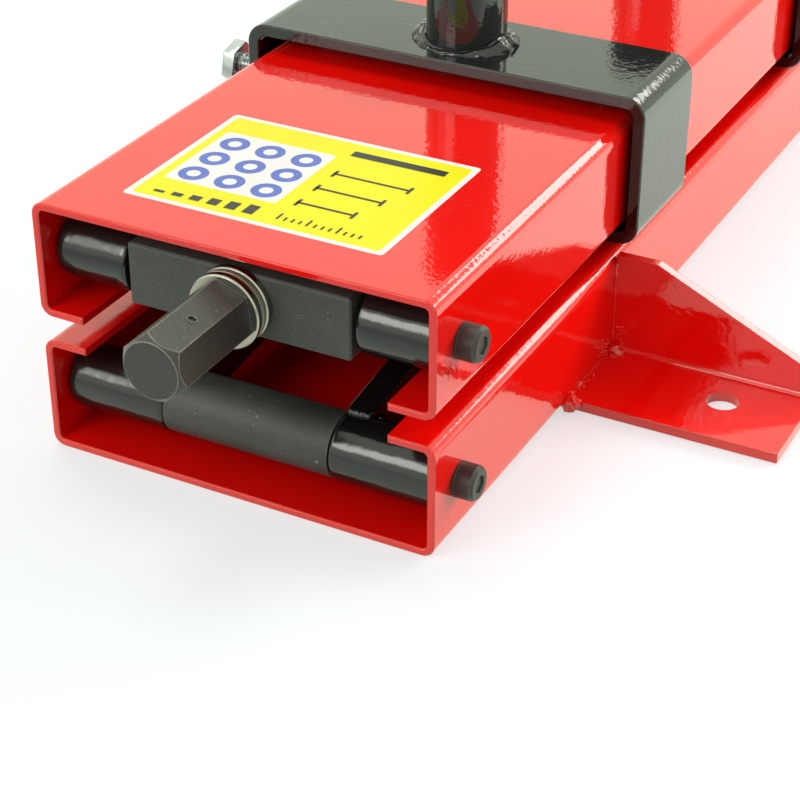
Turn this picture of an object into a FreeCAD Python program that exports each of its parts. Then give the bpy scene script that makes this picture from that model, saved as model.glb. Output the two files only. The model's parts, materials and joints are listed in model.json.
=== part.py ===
"""Screw-driven scissor jack for lifting a motorcycle.

Two folded C channels lie one over the other and a pair of crossed arms joins them. A lead screw in
the upper channel pulls the rear block towards the front one, and the arms stand up. Two brackets
with posts slide along the upper channel and are held by lock bolts.

Frame: millimetres, +Z up, origin in the middle of the lower channel's underside. +Y runs from the
screw's drive head to the rear, and +X is to the right as seen from the drive head.
"""
import FreeCAD
import Part
import math
import os

Vector = FreeCAD.Vector
AXIS_X = Vector(1, 0, 0)
AXIS_Y = Vector(0, 1, 0)
AXIS_Z = Vector(0, 0, 1)
LEFT = -1
RIGHT = 1

# Channels
RAIL_LENGTH = 465.0
RAIL_WIDTH = 158.0
RAIL_HEIGHT = 45.0
RAIL_SHEET = 3.0
RAIL_BEND = 5.0
RAIL_LIP = 18.0
RAIL_GAP = 9.6
SHEET_EDGE = 0.5
SLOT_LENGTH = 23.0
SLOT_WIDTH = 10.0
SLOT_SETBACK = 20.0
REAR_HOLE_D = 12.0
REAR_HOLE_SETBACK = 18.0

# Pivots and arms
FRONT_PIVOT_SETBACK = 18.5
REAR_PIVOT_SETBACK = 22.0
BAR_SIZE = 24.0
BAR_CHAMFER = 0.8
JOURNAL_D = 16.0
ARM_THICKNESS = 10.0
ARM_HEIGHT = 26.0
ARM_GAP = 1.5
ARM_COPE = 6.0
EYE_D = 30.0
SLEEVE_D = 25.0
LOWER_FRONT_SHAFT_D = 24.0
LOWER_REAR_SHAFT_D = 22.0
ROLLER_LENGTH = 19.9
ROLLER_CLEARANCE = 0.3
ROLLER_CHAMFER = 1.0
ROLLER_GROOVE = 0.6
ROLLER_GROOVE_WIDTH = 2.0
CENTRE_SPACER_D = 24.0
RING_D = 22.0
RING_THICKNESS = 1.2
RING_GROOVE = 0.5
SHAFT_END_BEYOND_RING = 2.0

# Socket head screws through the webs
SCREW_D = 8.0
SCREW_HEAD_D = 13.0
SCREW_HEAD_HEIGHT = 8.0
SCREW_SOCKET_FLATS = 6.0
SCREW_SOCKET_DEPTH = 4.0
SCREW_SOCKET_TURN = 30.0
SCREW_GRIP = 18.0
SCREW_EDGE = 0.6
SCREW_HOLE_CLEARANCE = 0.25

# Lead screw, drive head and thrust bearing
THREAD_D = 16.0
SCREW_JOURNAL_D = 15.0
SCREW_SPIGOT_D = 12.0
SCREW_END_RECESS = 4.0
HEX_FLATS = 22.0
HEX_LENGTH = 43.5
HEX_BORE_DEPTH = 36.0
HEX_CHAMFER = 3.0
HEX_TURN = 40.0
PIN_D = 3.0
PIN_FROM_BEARING = 23.9
PIN_SHORT = 0.6
BEARING_D = 28.0
BEARING_HEIGHT = 9.0
BEARING_WASHER = 2.9
BEARING_EDGE = 0.5
RACE_CLEARANCE = 0.1
HOUSING_WASHER_BORE = 16.0
BALL_D = 4.7
BALL_COUNT = 10
CAGE_THICKNESS = 1.8

# Brackets, posts and lock bolts
FRONT_BRACKET_SETBACK = 157.0
REAR_BRACKET_SETBACK = 357.0
BRACKET_DEPTH = 50.0
BRACKET_SHEET = 5.0
BRACKET_BEND = 8.5
BRACKET_LIP = 20.0
BRACKET_SIDE_CLEARANCE = 2.2
BRACKET_TOP_CLEARANCE = 5.7
BRACKET_LIP_CLEARANCE = 0.3
POST_D = 32.0
POST_BORE_D = 26.0
POST_HEIGHT = 82.0
POST_EDGE = 0.8
POST_WELD = 6.5
NUT_FLATS = 17.0
NUT_HEIGHT = 8.4
NUT_TURN = 30.0
BOLT_D = 10.0
BOLT_LENGTH = 25.0
BOLT_HEAD_FLATS = 17.0
BOLT_HEAD_HEIGHT = 6.4
BOLT_TURN = 15.0
BOLT_TIP_CLEARANCE = 0.3
BOLT_HOLE_CLEARANCE = 0.5
BOLT_TIP_CHAMFER = 1.2
HEXAGON_CHAMFER_ANGLE = 30.0
HEXAGON_CROWN = 0.95

# Feet
FOOT_SETBACK = 112.0
FOOT_DEPTH = 48.0
FOOT_REACH = 84.0
FOOT_SHEET = 4.0
FOOT_BEND = 6.0
FOOT_LEG_FLAT = 17.0
FOOT_LEG_LOW = 14.0
FOOT_HOLE_D = 13.0
FOOT_HOLE_OUT = 53.3
FOOT_HOLE_BACK = 26.0

# Fits
RUNNING_FIT = 0.05
THREAD_FIT = 0.05
END_PLAY = 0.3

# How far a cutting shape stands past the face it cuts, and how near an edge must be to be picked
OVERSHOOT = 1.0
NEAR = 0.01

# Places that follow from the sizes
RAIL_HALF = RAIL_WIDTH / 2
WEB_INSIDE = RAIL_HALF - RAIL_SHEET
Y_FRONT = -RAIL_LENGTH / 2
Y_REAR = RAIL_LENGTH / 2
UPPER_LOW = RAIL_HEIGHT + RAIL_GAP
UPPER_TOP = UPPER_LOW + RAIL_HEIGHT
Y_FRONT_PIVOT = Y_FRONT + FRONT_PIVOT_SETBACK
Y_REAR_PIVOT = Y_REAR - REAR_PIVOT_SETBACK
Z_LOWER_PIVOT = RAIL_HEIGHT / 2
Z_UPPER_PIVOT = UPPER_LOW + RAIL_HEIGHT / 2
PIVOT_SPAN = Y_REAR_PIVOT - Y_FRONT_PIVOT
PIVOT_RISE = Z_UPPER_PIVOT - Z_LOWER_PIVOT
ARM_LENGTH = math.hypot(PIVOT_SPAN, PIVOT_RISE)
ARM_ANGLE = math.degrees(math.atan2(PIVOT_RISE, PIVOT_SPAN))
OUTER_ARM_OUT = WEB_INSIDE - ROLLER_LENGTH - 2 * END_PLAY
OUTER_ARM_IN = OUTER_ARM_OUT - ARM_THICKNESS
INNER_ARM_OUT = OUTER_ARM_IN - ARM_GAP
ARM_INSIDE = INNER_ARM_OUT - ARM_THICKNESS
ROLLER_D = RAIL_HEIGHT - 2 * RAIL_SHEET - 2 * ROLLER_CLEARANCE
BLOCK_FRONT = Y_FRONT_PIVOT - BAR_SIZE / 2
BLOCK_REAR = Y_FRONT_PIVOT + BAR_SIZE / 2
BEARING_FRONT = BLOCK_FRONT - BEARING_HEIGHT
HEX_FRONT = BEARING_FRONT - HEX_LENGTH
PIN_Y = BEARING_FRONT - PIN_FROM_BEARING
BALL_CIRCLE = (BEARING_D + SCREW_JOURNAL_D) / 4
BRACKET_LOW = UPPER_LOW - BRACKET_LIP_CLEARANCE - BRACKET_SHEET
BRACKET_TOP = UPPER_TOP + BRACKET_TOP_CLEARANCE + BRACKET_SHEET
BRACKET_HALF = RAIL_HALF + BRACKET_SIDE_CLEARANCE + BRACKET_SHEET
BOLT_Z = (BRACKET_LOW + BRACKET_TOP) / 2
RING_INSIDE = OUTER_ARM_OUT + END_PLAY


def block(x0, x1, y0, y1, z0, z1):
    """Box between two corners."""
    return Part.makeBox(x1 - x0, y1 - y0, z1 - z0, Vector(x0, y0, z0))


def bar_x(diameter, x0, x1, y, z):
    """Round bar along X."""
    return Part.makeCylinder(diameter / 2, x1 - x0, Vector(x0, y, z), AXIS_X)


def bar_y(diameter, y0, y1, x, z):
    """Round bar along Y."""
    return Part.makeCylinder(diameter / 2, y1 - y0, Vector(x, y0, z), AXIS_Y)


def bar_z(diameter, z0, z1, x, y):
    """Round bar along Z."""
    return Part.makeCylinder(diameter / 2, z1 - z0, Vector(x, y, z0), AXIS_Z)


def sided(side, near, far):
    """Lowest and highest X of a span that lies between near and far on one side."""
    return (near, far) if side == RIGHT else (-far, -near)


def turned(points, base, axis):
    """Solid of revolution from a closed outline."""
    face = Part.Face(Part.makePolygon(points + points[:1]))
    return face.revolve(base, axis, 360)


def hexagon(flats, height, turn=0.0):
    """Hexagonal prism on Z from 0 to height, with its first corner at the turn angle."""
    radius = flats / math.sqrt(3)
    angles = [math.radians(turn + 60 * k) for k in range(7)]
    corners = [Vector(radius * math.cos(angle), radius * math.sin(angle), 0) for angle in angles]
    return Part.Face(Part.makePolygon(corners)).extrude(AXIS_Z * height)


def crowned_hexagon(flats, height, turn):
    """Hexagonal prism whose corners are turned down to a circle at the top."""
    corner, crown = flats / math.sqrt(3), flats * HEXAGON_CROWN / 2
    drop = (corner - crown) * math.tan(math.radians(HEXAGON_CHAMFER_ANGLE))
    outline = [(0, 0), (corner, 0), (corner, height - drop), (crown, height), (0, height)]
    limit = turned([Vector(r, 0, z) for r, z in outline], Vector(0, 0, 0), AXIS_Z)
    return hexagon(flats, height, turn).common(limit)


def stand_along(shape, direction, place):
    """Turn a shape that was built on Z so that it points along a direction, and put it in place."""
    placed = shape.copy()
    placed.Placement = FreeCAD.Placement(place, FreeCAD.Rotation(AXIS_Z, direction))
    return placed


def end_edges(shape, y):
    """Edges that lie flat in the plane at y."""
    box_of = [(edge, edge.BoundBox) for edge in shape.Edges]
    return [edge for edge, box in box_of if abs(box.YMin - y) < NEAR and abs(box.YMax - y) < NEAR]


def channel(half, z_low, z_high, y0, y1, sheet, bend, lip, lips_up):
    """Folded C channel along Y with its lips turned inwards at the top or at the bottom."""
    def long_edges(solid):
        return [edge for edge in solid.Edges if edge.BoundBox.YLength > (y1 - y0) / 2]

    outer = block(-half, half, y0, y1, z_low, z_high)
    outer = outer.makeFillet(bend, long_edges(outer))
    inner = block(-half + sheet, half - sheet, y0, y1, z_low + sheet, z_high - sheet)
    inner = inner.makeFillet(bend - sheet, long_edges(inner))
    mouth_low = z_high - bend if lips_up else z_low
    mouth_high = z_high if lips_up else z_low + bend
    mouth = block(-half + lip, half - lip, y0, y1, mouth_low, mouth_high)
    profile = outer.cut(inner).cut(mouth)
    return profile.makeChamfer(SHEET_EDGE, end_edges(profile, y0) + end_edges(profile, y1))


def web_holes(y, z):
    """Clearance holes for the socket head screws through both webs."""
    return bar_x(SCREW_D + 2 * SCREW_HOLE_CLEARANCE, -RAIL_WIDTH, RAIL_WIDTH, y, z)


def lower_rail():
    rail = channel(RAIL_HALF, 0, RAIL_HEIGHT, Y_FRONT, Y_REAR, RAIL_SHEET, RAIL_BEND, RAIL_LIP, True)
    hole = bar_z(REAR_HOLE_D, -RAIL_SHEET, 2 * RAIL_SHEET, 0, Y_REAR - REAR_HOLE_SETBACK)
    return rail.cut(web_holes(Y_FRONT_PIVOT, Z_LOWER_PIVOT)).cut(hole)


def upper_rail():
    rail = channel(RAIL_HALF, UPPER_LOW, UPPER_TOP, Y_FRONT, Y_REAR, RAIL_SHEET, RAIL_BEND, RAIL_LIP, False)
    y = Y_REAR - SLOT_SETBACK
    z0, z1 = UPPER_TOP - 2 * RAIL_SHEET, UPPER_TOP + RAIL_SHEET
    reach = (SLOT_LENGTH - SLOT_WIDTH) / 2
    slot = block(-reach, reach, y - SLOT_WIDTH / 2, y + SLOT_WIDTH / 2, z0, z1)
    for x in (-reach, reach):
        slot = slot.fuse(bar_z(SLOT_WIDTH, z0, z1, x, y))
    return rail.cut(web_holes(Y_FRONT_PIVOT, Z_UPPER_PIVOT)).cut(slot)


def foot(side):
    """Bent angle plate on one side of the lower rail, with its upright leg at the rear edge."""
    y0 = Y_FRONT + FOOT_SETBACK
    y1 = y0 + FOOT_DEPTH
    x0, x1 = sided(side, RAIL_HALF, RAIL_HALF + FOOT_REACH)
    plate = block(x0, x1, y0, y1, 0, RAIL_HEIGHT)
    inside = block(x0, x1, y0, y1 - FOOT_SHEET, FOOT_SHEET, RAIL_HEIGHT)

    def fold_edge(solid, y, z):
        return [
            edge for edge in solid.Edges
            if edge.BoundBox.XLength > FOOT_REACH / 2
            and abs(edge.BoundBox.YMin - y) < NEAR and abs(edge.BoundBox.ZMax - z) < NEAR
        ]

    plate = plate.makeFillet(FOOT_BEND, fold_edge(plate, y1, 0))
    inside = inside.makeFillet(FOOT_BEND - FOOT_SHEET, fold_edge(inside, y1 - FOOT_SHEET, FOOT_SHEET))
    angle = plate.cut(inside)
    flat_end = side * (RAIL_HALF + FOOT_LEG_FLAT)
    tip = side * (RAIL_HALF + FOOT_REACH)
    slope = [
        Vector(flat_end, y0, RAIL_HEIGHT),
        Vector(tip, y0, FOOT_LEG_LOW),
        Vector(tip + side * RAIL_SHEET, y0, RAIL_HEIGHT + RAIL_SHEET),
    ]
    wedge = Part.Face(Part.makePolygon(slope + slope[:1])).extrude(AXIS_Y * FOOT_DEPTH)
    hole_x = side * (RAIL_HALF + FOOT_HOLE_OUT)
    hole = bar_z(FOOT_HOLE_D, -FOOT_SHEET, 2 * FOOT_SHEET, hole_x, y0 + FOOT_HOLE_BACK)
    return angle.cut(wedge).cut(hole)


def tapped(side, y, z):
    """Room for a socket head screw in the end of a cross bar."""
    x0, x1 = sided(side, WEB_INSIDE - SCREW_GRIP - SCREW_EDGE, WEB_INSIDE + RAIL_SHEET)
    return bar_x(SCREW_D + 2 * THREAD_FIT, x0, x1, y, z)


def socket_screw(side, y, z):
    """Socket head screw through one web, with its head outside."""
    grip = SCREW_GRIP + RAIL_SHEET
    head = Part.makeCylinder(SCREW_HEAD_D / 2, SCREW_HEAD_HEIGHT)
    top = [edge for edge in head.Edges if edge.BoundBox.ZMin > SCREW_HEAD_HEIGHT - NEAR]
    head = head.makeChamfer(SCREW_EDGE, top)
    socket = hexagon(SCREW_SOCKET_FLATS, SCREW_SOCKET_DEPTH + OVERSHOOT, SCREW_SOCKET_TURN)
    socket.translate(AXIS_Z * (SCREW_HEAD_HEIGHT - SCREW_SOCKET_DEPTH))
    shank = Part.makeCylinder(SCREW_D / 2, grip + OVERSHOOT, Vector(0, 0, -grip))
    screw = head.fuse(shank).cut(socket).removeSplitter()
    return stand_along(screw, AXIS_X * side, Vector(side * RAIL_HALF, y, z))


def front_screws(z):
    return Part.makeCompound([socket_screw(side, Y_FRONT_PIVOT, z) for side in (LEFT, RIGHT)])


def lower_front_shaft():
    """Stepped round bar between the lower webs, its ends carrying the inner sleeves."""
    y, z = Y_FRONT_PIVOT, Z_LOWER_PIVOT
    middle = bar_x(LOWER_FRONT_SHAFT_D, -ARM_INSIDE + END_PLAY, ARM_INSIDE - END_PLAY, y, z)
    shaft = middle.fuse(bar_x(JOURNAL_D, -WEB_INSIDE, WEB_INSIDE, y, z)).removeSplitter()
    for side in (LEFT, RIGHT):
        shaft = shaft.cut(tapped(side, y, z))
    return shaft


def square_bar(half, y, z):
    """Square bar along X with its long edges broken."""
    size = BAR_SIZE / 2
    bar = block(-half, half, y - size, y + size, z - size, z + size)
    return bar.makeChamfer(BAR_CHAMFER, bar.Edges)


def upper_front_block():
    """Square bar that takes the screw's pull, its round ends carrying the outer sleeves."""
    y, z = Y_FRONT_PIVOT, Z_UPPER_PIVOT
    bar = square_bar(OUTER_ARM_IN - ARM_GAP, y, z)
    bar = bar.fuse(bar_x(JOURNAL_D, -WEB_INSIDE, WEB_INSIDE, y, z)).removeSplitter()
    for side in (LEFT, RIGHT):
        bar = bar.cut(tapped(side, y, z))
    bore_d = SCREW_JOURNAL_D + 2 * RUNNING_FIT
    return bar.cut(bar_y(bore_d, BLOCK_FRONT - OVERSHOOT, BLOCK_REAR + OVERSHOOT, 0, z))


def rear_nut_block():
    """Square bar with the screw's thread, its round ends carrying the upper rollers."""
    y, z = Y_REAR_PIVOT, Z_UPPER_PIVOT
    bar = square_bar(ARM_INSIDE - END_PLAY, y, z)
    end = WEB_INSIDE - END_PLAY
    bar = bar.fuse(bar_x(JOURNAL_D, -end, end, y, z)).removeSplitter()
    return bar.cut(bar_y(THREAD_D + 2 * THREAD_FIT, y - BAR_SIZE, y + BAR_SIZE, 0, z))


def lower_rear_shaft():
    """Round bar welded between the outer arms' eyes, its ends carrying the lower rollers."""
    y, z = Y_REAR_PIVOT, Z_LOWER_PIVOT
    middle = bar_x(LOWER_REAR_SHAFT_D, -OUTER_ARM_IN, OUTER_ARM_IN, y, z)
    end = WEB_INSIDE - END_PLAY
    return middle.fuse(bar_x(JOURNAL_D, -end, end, y, z)).removeSplitter()


def arm(side, inside, front_z, angle):
    """Flat bar from a coped front end at its sleeve to an eye at its rear pivot."""
    x0, x1 = sided(side, inside, inside + ARM_THICKNESS)
    y, half = Y_FRONT_PIVOT, ARM_HEIGHT / 2
    bar = block(x0, x1, y + ARM_COPE, y + ARM_LENGTH, front_z - half, front_z + half)
    bar = bar.fuse(bar_x(EYE_D, x0, x1, y + ARM_LENGTH, front_z)).removeSplitter()
    cut_low, cut_high = x0 - OVERSHOOT, x1 + OVERSHOOT
    bar = bar.cut(bar_x(SLEEVE_D, cut_low, cut_high, y, front_z))
    for reach in (ARM_LENGTH / 2, ARM_LENGTH):
        bar = bar.cut(bar_x(JOURNAL_D + 2 * RUNNING_FIT, cut_low, cut_high, y + reach, front_z))
    bar.rotate(Vector(0, y, front_z), AXIS_X, angle)
    return bar


def inner_arm(side):
    return arm(side, ARM_INSIDE, Z_LOWER_PIVOT, ARM_ANGLE)


def outer_arm(side):
    return arm(side, OUTER_ARM_IN, Z_UPPER_PIVOT, -ARM_ANGLE)


def tube_x(outer_d, inner_d, x0, x1, y, z):
    """Tube along X."""
    return bar_x(outer_d, x0, x1, y, z).cut(bar_x(inner_d, x0 - OVERSHOOT, x1 + OVERSHOOT, y, z))


def sleeve(side, inside, z):
    """Tube that turns on a cross bar's end and carries an arm."""
    x0, x1 = sided(side, inside, WEB_INSIDE - END_PLAY)
    return tube_x(SLEEVE_D, JOURNAL_D + 2 * RUNNING_FIT, x0, x1, Y_FRONT_PIVOT, z)


def inner_sleeve(side):
    return sleeve(side, ARM_INSIDE, Z_LOWER_PIVOT)


def outer_sleeve(side):
    return sleeve(side, OUTER_ARM_IN, Z_UPPER_PIVOT)


def centre_place():
    """Where the arms cross."""
    return (Y_FRONT_PIVOT + Y_REAR_PIVOT) / 2, (Z_LOWER_PIVOT + Z_UPPER_PIVOT) / 2


def centre_shaft():
    """Pivot bar through all four arms, grooved for its retaining rings."""
    y, z = centre_place()
    end = RING_INSIDE + RING_THICKNESS + SHAFT_END_BEYOND_RING
    shaft = bar_x(JOURNAL_D, -end, end, y, z)
    for side in (LEFT, RIGHT):
        x0, x1 = sided(side, RING_INSIDE, RING_INSIDE + RING_THICKNESS)
        shaft = shaft.cut(tube_x(2 * JOURNAL_D, JOURNAL_D - 2 * RING_GROOVE, x0, x1, y, z))
    return shaft


def centre_spacer():
    """Tube that keeps the inner arms apart at the centre pivot."""
    y, z = centre_place()
    return tube_x(CENTRE_SPACER_D, JOURNAL_D + 2 * RUNNING_FIT, -ARM_INSIDE, ARM_INSIDE, y, z)


def centre_rings():
    """Retaining rings in the centre shaft's grooves."""
    y, z = centre_place()
    rings = []
    for side in (LEFT, RIGHT):
        x0, x1 = sided(side, RING_INSIDE, RING_INSIDE + RING_THICKNESS)
        rings.append(tube_x(RING_D, JOURNAL_D - 2 * RING_GROOVE, x0, x1, y, z))
    return Part.makeCompound(rings)


def roller(side, inside, z):
    """Roller between an arm's eye and the web, with a shallow groove by the eye."""
    y, radius = Y_REAR_PIVOT, ROLLER_D / 2
    x0, x1 = inside + END_PLAY, WEB_INSIDE - END_PLAY
    bore = JOURNAL_D / 2 + RUNNING_FIT
    groove_in = x0 + ROLLER_GROOVE_WIDTH
    groove_out = groove_in + ROLLER_GROOVE_WIDTH
    outline = [
        (x0, bore), (x0, radius - ROLLER_CHAMFER), (x0 + ROLLER_CHAMFER, radius),
        (groove_in, radius), (groove_in, radius - ROLLER_GROOVE),
        (groove_out, radius - ROLLER_GROOVE), (groove_out, radius),
        (x1 - ROLLER_CHAMFER, radius), (x1, radius - ROLLER_CHAMFER), (x1, bore),
    ]
    points = [Vector(side * x, y, z + r) for x, r in outline]
    return turned(points, Vector(0, y, z), AXIS_X)


def upper_roller(side):
    return roller(side, INNER_ARM_OUT, Z_UPPER_PIVOT)


def lower_roller(side):
    return roller(side, OUTER_ARM_OUT, Z_LOWER_PIVOT)


def lead_screw():
    """Lead screw: spigot in the drive head, journal through the front block, thread to the nut block."""
    z = Z_UPPER_PIVOT
    spigot_front = BEARING_FRONT - HEX_BORE_DEPTH + END_PLAY
    shoulder = BLOCK_REAR + END_PLAY
    thread_end = Y_REAR_PIVOT + BAR_SIZE / 2 - SCREW_END_RECESS
    screw = bar_y(SCREW_SPIGOT_D, spigot_front, BEARING_FRONT, 0, z)
    screw = screw.fuse(bar_y(SCREW_JOURNAL_D, BEARING_FRONT, shoulder, 0, z))
    thread = bar_y(THREAD_D, shoulder, thread_end, 0, z)
    ends = end_edges(thread, thread_end)
    screw = screw.fuse(thread.makeChamfer(BAR_CHAMFER, ends)).removeSplitter()
    return screw.cut(pin_bar(PIN_D, HEX_FLATS))


def pin_direction():
    """Direction of the cross pin, square to one flat of the drive head."""
    turn = math.radians(HEX_TURN) + math.pi / 6
    return Vector(math.cos(turn), 0, math.sin(turn))


def pin_bar(diameter, length):
    """Round bar on the cross pin's line."""
    direction = pin_direction()
    middle = Vector(0, PIN_Y, Z_UPPER_PIVOT)
    return Part.makeCylinder(diameter / 2, length, middle - direction * (length / 2), direction)


def hex_drive_head():
    """Hexagon bar, bored from the rear and pinned on the lead screw's front end."""
    corner, crown = HEX_FLATS / math.sqrt(3), HEX_FLATS * HEXAGON_CROWN / 2
    outline = [(0, 0), (crown, 0), (corner, HEX_CHAMFER), (corner, HEX_LENGTH), (0, HEX_LENGTH)]
    limit = turned([Vector(r, 0, z) for r, z in outline], Vector(0, 0, 0), AXIS_Z)
    bore = Part.makeCylinder(
        SCREW_SPIGOT_D / 2 + RUNNING_FIT, HEX_BORE_DEPTH + OVERSHOOT,
        Vector(0, 0, HEX_LENGTH - HEX_BORE_DEPTH)
    )
    head = hexagon(HEX_FLATS, HEX_LENGTH, -HEX_TURN).common(limit).cut(bore)
    head.rotate(Vector(0, 0, 0), AXIS_X, -90)
    head.translate(Vector(0, HEX_FRONT, Z_UPPER_PIVOT))
    return head.cut(pin_bar(PIN_D, 2 * HEX_FLATS))


def hex_pin():
    return pin_bar(PIN_D, HEX_FLATS - 2 * PIN_SHORT)


def bearing_washer(bore_d, back_y, face_y):
    """Flat ring of the thrust bearing, with a groove for the balls in its face."""
    z = Z_UPPER_PIVOT
    inner, outer = bore_d / 2, BEARING_D / 2
    back_edge = back_y + math.copysign(BEARING_EDGE, face_y - back_y)
    face_edge = face_y - math.copysign(BEARING_EDGE, face_y - back_y)
    reach = BALL_D / 2 + RACE_CLEARANCE
    groove_y = bearing_middle() + math.copysign(reach, face_y - bearing_middle())
    mouth = math.sqrt(reach ** 2 - (face_y - bearing_middle()) ** 2)
    floor = mouth - abs(groove_y - face_y)
    outline = [
        (inner, back_y), (outer - BEARING_EDGE, back_y), (outer, back_edge),
        (outer, face_edge), (outer - BEARING_EDGE, face_y),
        (BALL_CIRCLE + mouth, face_y), (BALL_CIRCLE + floor, groove_y),
        (BALL_CIRCLE - floor, groove_y), (BALL_CIRCLE - mouth, face_y), (inner, face_y),
    ]
    return turned([Vector(r, y, z) for r, y in outline], Vector(0, 0, z), AXIS_Y)


def bearing_middle():
    return BEARING_FRONT + BEARING_HEIGHT / 2


def bearing_shaft_washer():
    """Ring that turns with the drive head."""
    bore_d = SCREW_JOURNAL_D + 2 * RUNNING_FIT
    return bearing_washer(bore_d, BEARING_FRONT, BEARING_FRONT + BEARING_WASHER)


def bearing_housing_washer():
    """Ring that rests on the front block."""
    return bearing_washer(HOUSING_WASHER_BORE, BLOCK_FRONT, BLOCK_FRONT - BEARING_WASHER)


def ball_places():
    places = []
    for k in range(BALL_COUNT):
        turn = 2 * math.pi * k / BALL_COUNT
        x, z = BALL_CIRCLE * math.cos(turn), BALL_CIRCLE * math.sin(turn)
        places.append(Vector(x, bearing_middle(), Z_UPPER_PIVOT + z))
    return places


def bearing_balls():
    return Part.makeCompound([Part.makeSphere(BALL_D / 2, place) for place in ball_places()])


def bearing_cage():
    """Flat ring with a pocket for each ball."""
    y = bearing_middle()
    y0, y1 = y - CAGE_THICKNESS / 2, y + CAGE_THICKNESS / 2
    outer_d = BEARING_D - 2 * END_PLAY
    inner_d = SCREW_JOURNAL_D + 4 * END_PLAY
    cut_low, cut_high = y0 - OVERSHOOT, y1 + OVERSHOOT
    cage = bar_y(outer_d, y0, y1, 0, Z_UPPER_PIVOT).cut(bar_y(inner_d, cut_low, cut_high, 0, Z_UPPER_PIVOT))
    for place in ball_places():
        cage = cage.cut(bar_y(BALL_D + 2 * RUNNING_FIT, cut_low, cut_high, place.x, place.z))
    return cage


def bracket(setback):
    """Flat bar bent round the upper rail, with its ends turned in under the lips."""
    y0 = Y_FRONT + setback
    shape = channel(
        BRACKET_HALF, BRACKET_LOW, BRACKET_TOP, y0, y0 + BRACKET_DEPTH,
        BRACKET_SHEET, BRACKET_BEND, BRACKET_LIP, False,
    )
    hole_d = BOLT_D + 2 * BOLT_HOLE_CLEARANCE
    hole = bar_x(hole_d, -BRACKET_HALF - OVERSHOOT, -RAIL_HALF, y0 + BRACKET_DEPTH / 2, BOLT_Z)
    return shape.cut(hole)


def post(setback):
    """Tube that stands on a bracket, with the weld fillet round its foot."""
    y = Y_FRONT + setback + BRACKET_DEPTH / 2
    outer, bore, top = POST_D / 2, POST_BORE_D / 2, BRACKET_TOP + POST_HEIGHT
    outline = [
        (bore, BRACKET_TOP), (outer + POST_WELD, BRACKET_TOP), (outer, BRACKET_TOP + POST_WELD),
        (outer, top - POST_EDGE), (outer - POST_EDGE, top), (bore, top),
    ]
    points = [Vector(r, y, z) for r, z in outline]
    return turned(points, Vector(0, y, 0), AXIS_Z)


def weld_nut(setback):
    """Hexagon nut on the bracket's left leg."""
    nut = crowned_hexagon(NUT_FLATS, NUT_HEIGHT, NUT_TURN)
    nut = nut.cut(Part.makeCylinder(BOLT_D / 2 + THREAD_FIT, 3 * NUT_HEIGHT, Vector(0, 0, -NUT_HEIGHT)))
    y = Y_FRONT + setback + BRACKET_DEPTH / 2
    return stand_along(nut, -AXIS_X, Vector(-BRACKET_HALF, y, BOLT_Z))


def lock_bolt(setback):
    """Hexagon bolt through the weld nut, with its tip at the rail's web."""
    head = crowned_hexagon(BOLT_HEAD_FLATS, BOLT_HEAD_HEIGHT, BOLT_TURN)
    shank = Part.makeCylinder(BOLT_D / 2, BOLT_LENGTH + OVERSHOOT, Vector(0, 0, -BOLT_LENGTH))
    tip = [edge for edge in shank.Edges if edge.BoundBox.ZMax < -BOLT_LENGTH + NEAR]
    bolt = head.fuse(shank.makeChamfer(BOLT_TIP_CHAMFER, tip)).removeSplitter()
    y = Y_FRONT + setback + BRACKET_DEPTH / 2
    head_x = -RAIL_HALF - BOLT_TIP_CLEARANCE - BOLT_LENGTH
    return stand_along(bolt, -AXIS_X, Vector(head_x, y, BOLT_Z))


def pieces():
    """Every node's name and solid."""
    made = {
        "lower_rail": lower_rail(),
        "upper_rail": upper_rail(),
        "lower_front_shaft": lower_front_shaft(),
        "lower_front_screws": front_screws(Z_LOWER_PIVOT),
        "upper_front_block": upper_front_block(),
        "upper_front_screws": front_screws(Z_UPPER_PIVOT),
        "centre_shaft": centre_shaft(),
        "centre_spacer": centre_spacer(),
        "centre_rings": centre_rings(),
        "rear_nut_block": rear_nut_block(),
        "lower_rear_shaft": lower_rear_shaft(),
        "lead_screw": lead_screw(),
        "hex_drive_head": hex_drive_head(),
        "hex_pin": hex_pin(),
        "bearing_shaft_washer": bearing_shaft_washer(),
        "bearing_housing_washer": bearing_housing_washer(),
        "bearing_cage": bearing_cage(),
        "bearing_balls": bearing_balls(),
    }
    for name, side in (("left", LEFT), ("right", RIGHT)):
        made[f"{name}_foot"] = foot(side)
        made[f"inner_arm_{name}"] = inner_arm(side)
        made[f"outer_arm_{name}"] = outer_arm(side)
        made[f"inner_sleeve_{name}"] = inner_sleeve(side)
        made[f"outer_sleeve_{name}"] = outer_sleeve(side)
        made[f"upper_roller_{name}"] = upper_roller(side)
        made[f"lower_roller_{name}"] = lower_roller(side)
    for name, setback in (("front", FRONT_BRACKET_SETBACK), ("rear", REAR_BRACKET_SETBACK)):
        made[f"{name}_bracket"] = bracket(setback)
        made[f"{name}_post"] = post(setback)
        made[f"{name}_weld_nut"] = weld_nut(setback)
        made[f"{name}_lock_bolt"] = lock_bolt(setback)
    return made


os.makedirs("parts", exist_ok=True)
for node, shape in pieces().items():
    shape.exportStep(f"parts/{node}.step")
print(f"arm length {ARM_LENGTH:.2f}, arm angle {ARM_ANGLE:.3f}")
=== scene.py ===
"""Finishes, weld beads, threads, decal and studio for the screw-driven motorcycle jack.

All lengths are metres in the jack's own frame: +Z up, +Y from the drive head to the rear.
"""
import json
import math

import bmesh
import bpy
from mathutils import Matrix, Vector, noise


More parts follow.
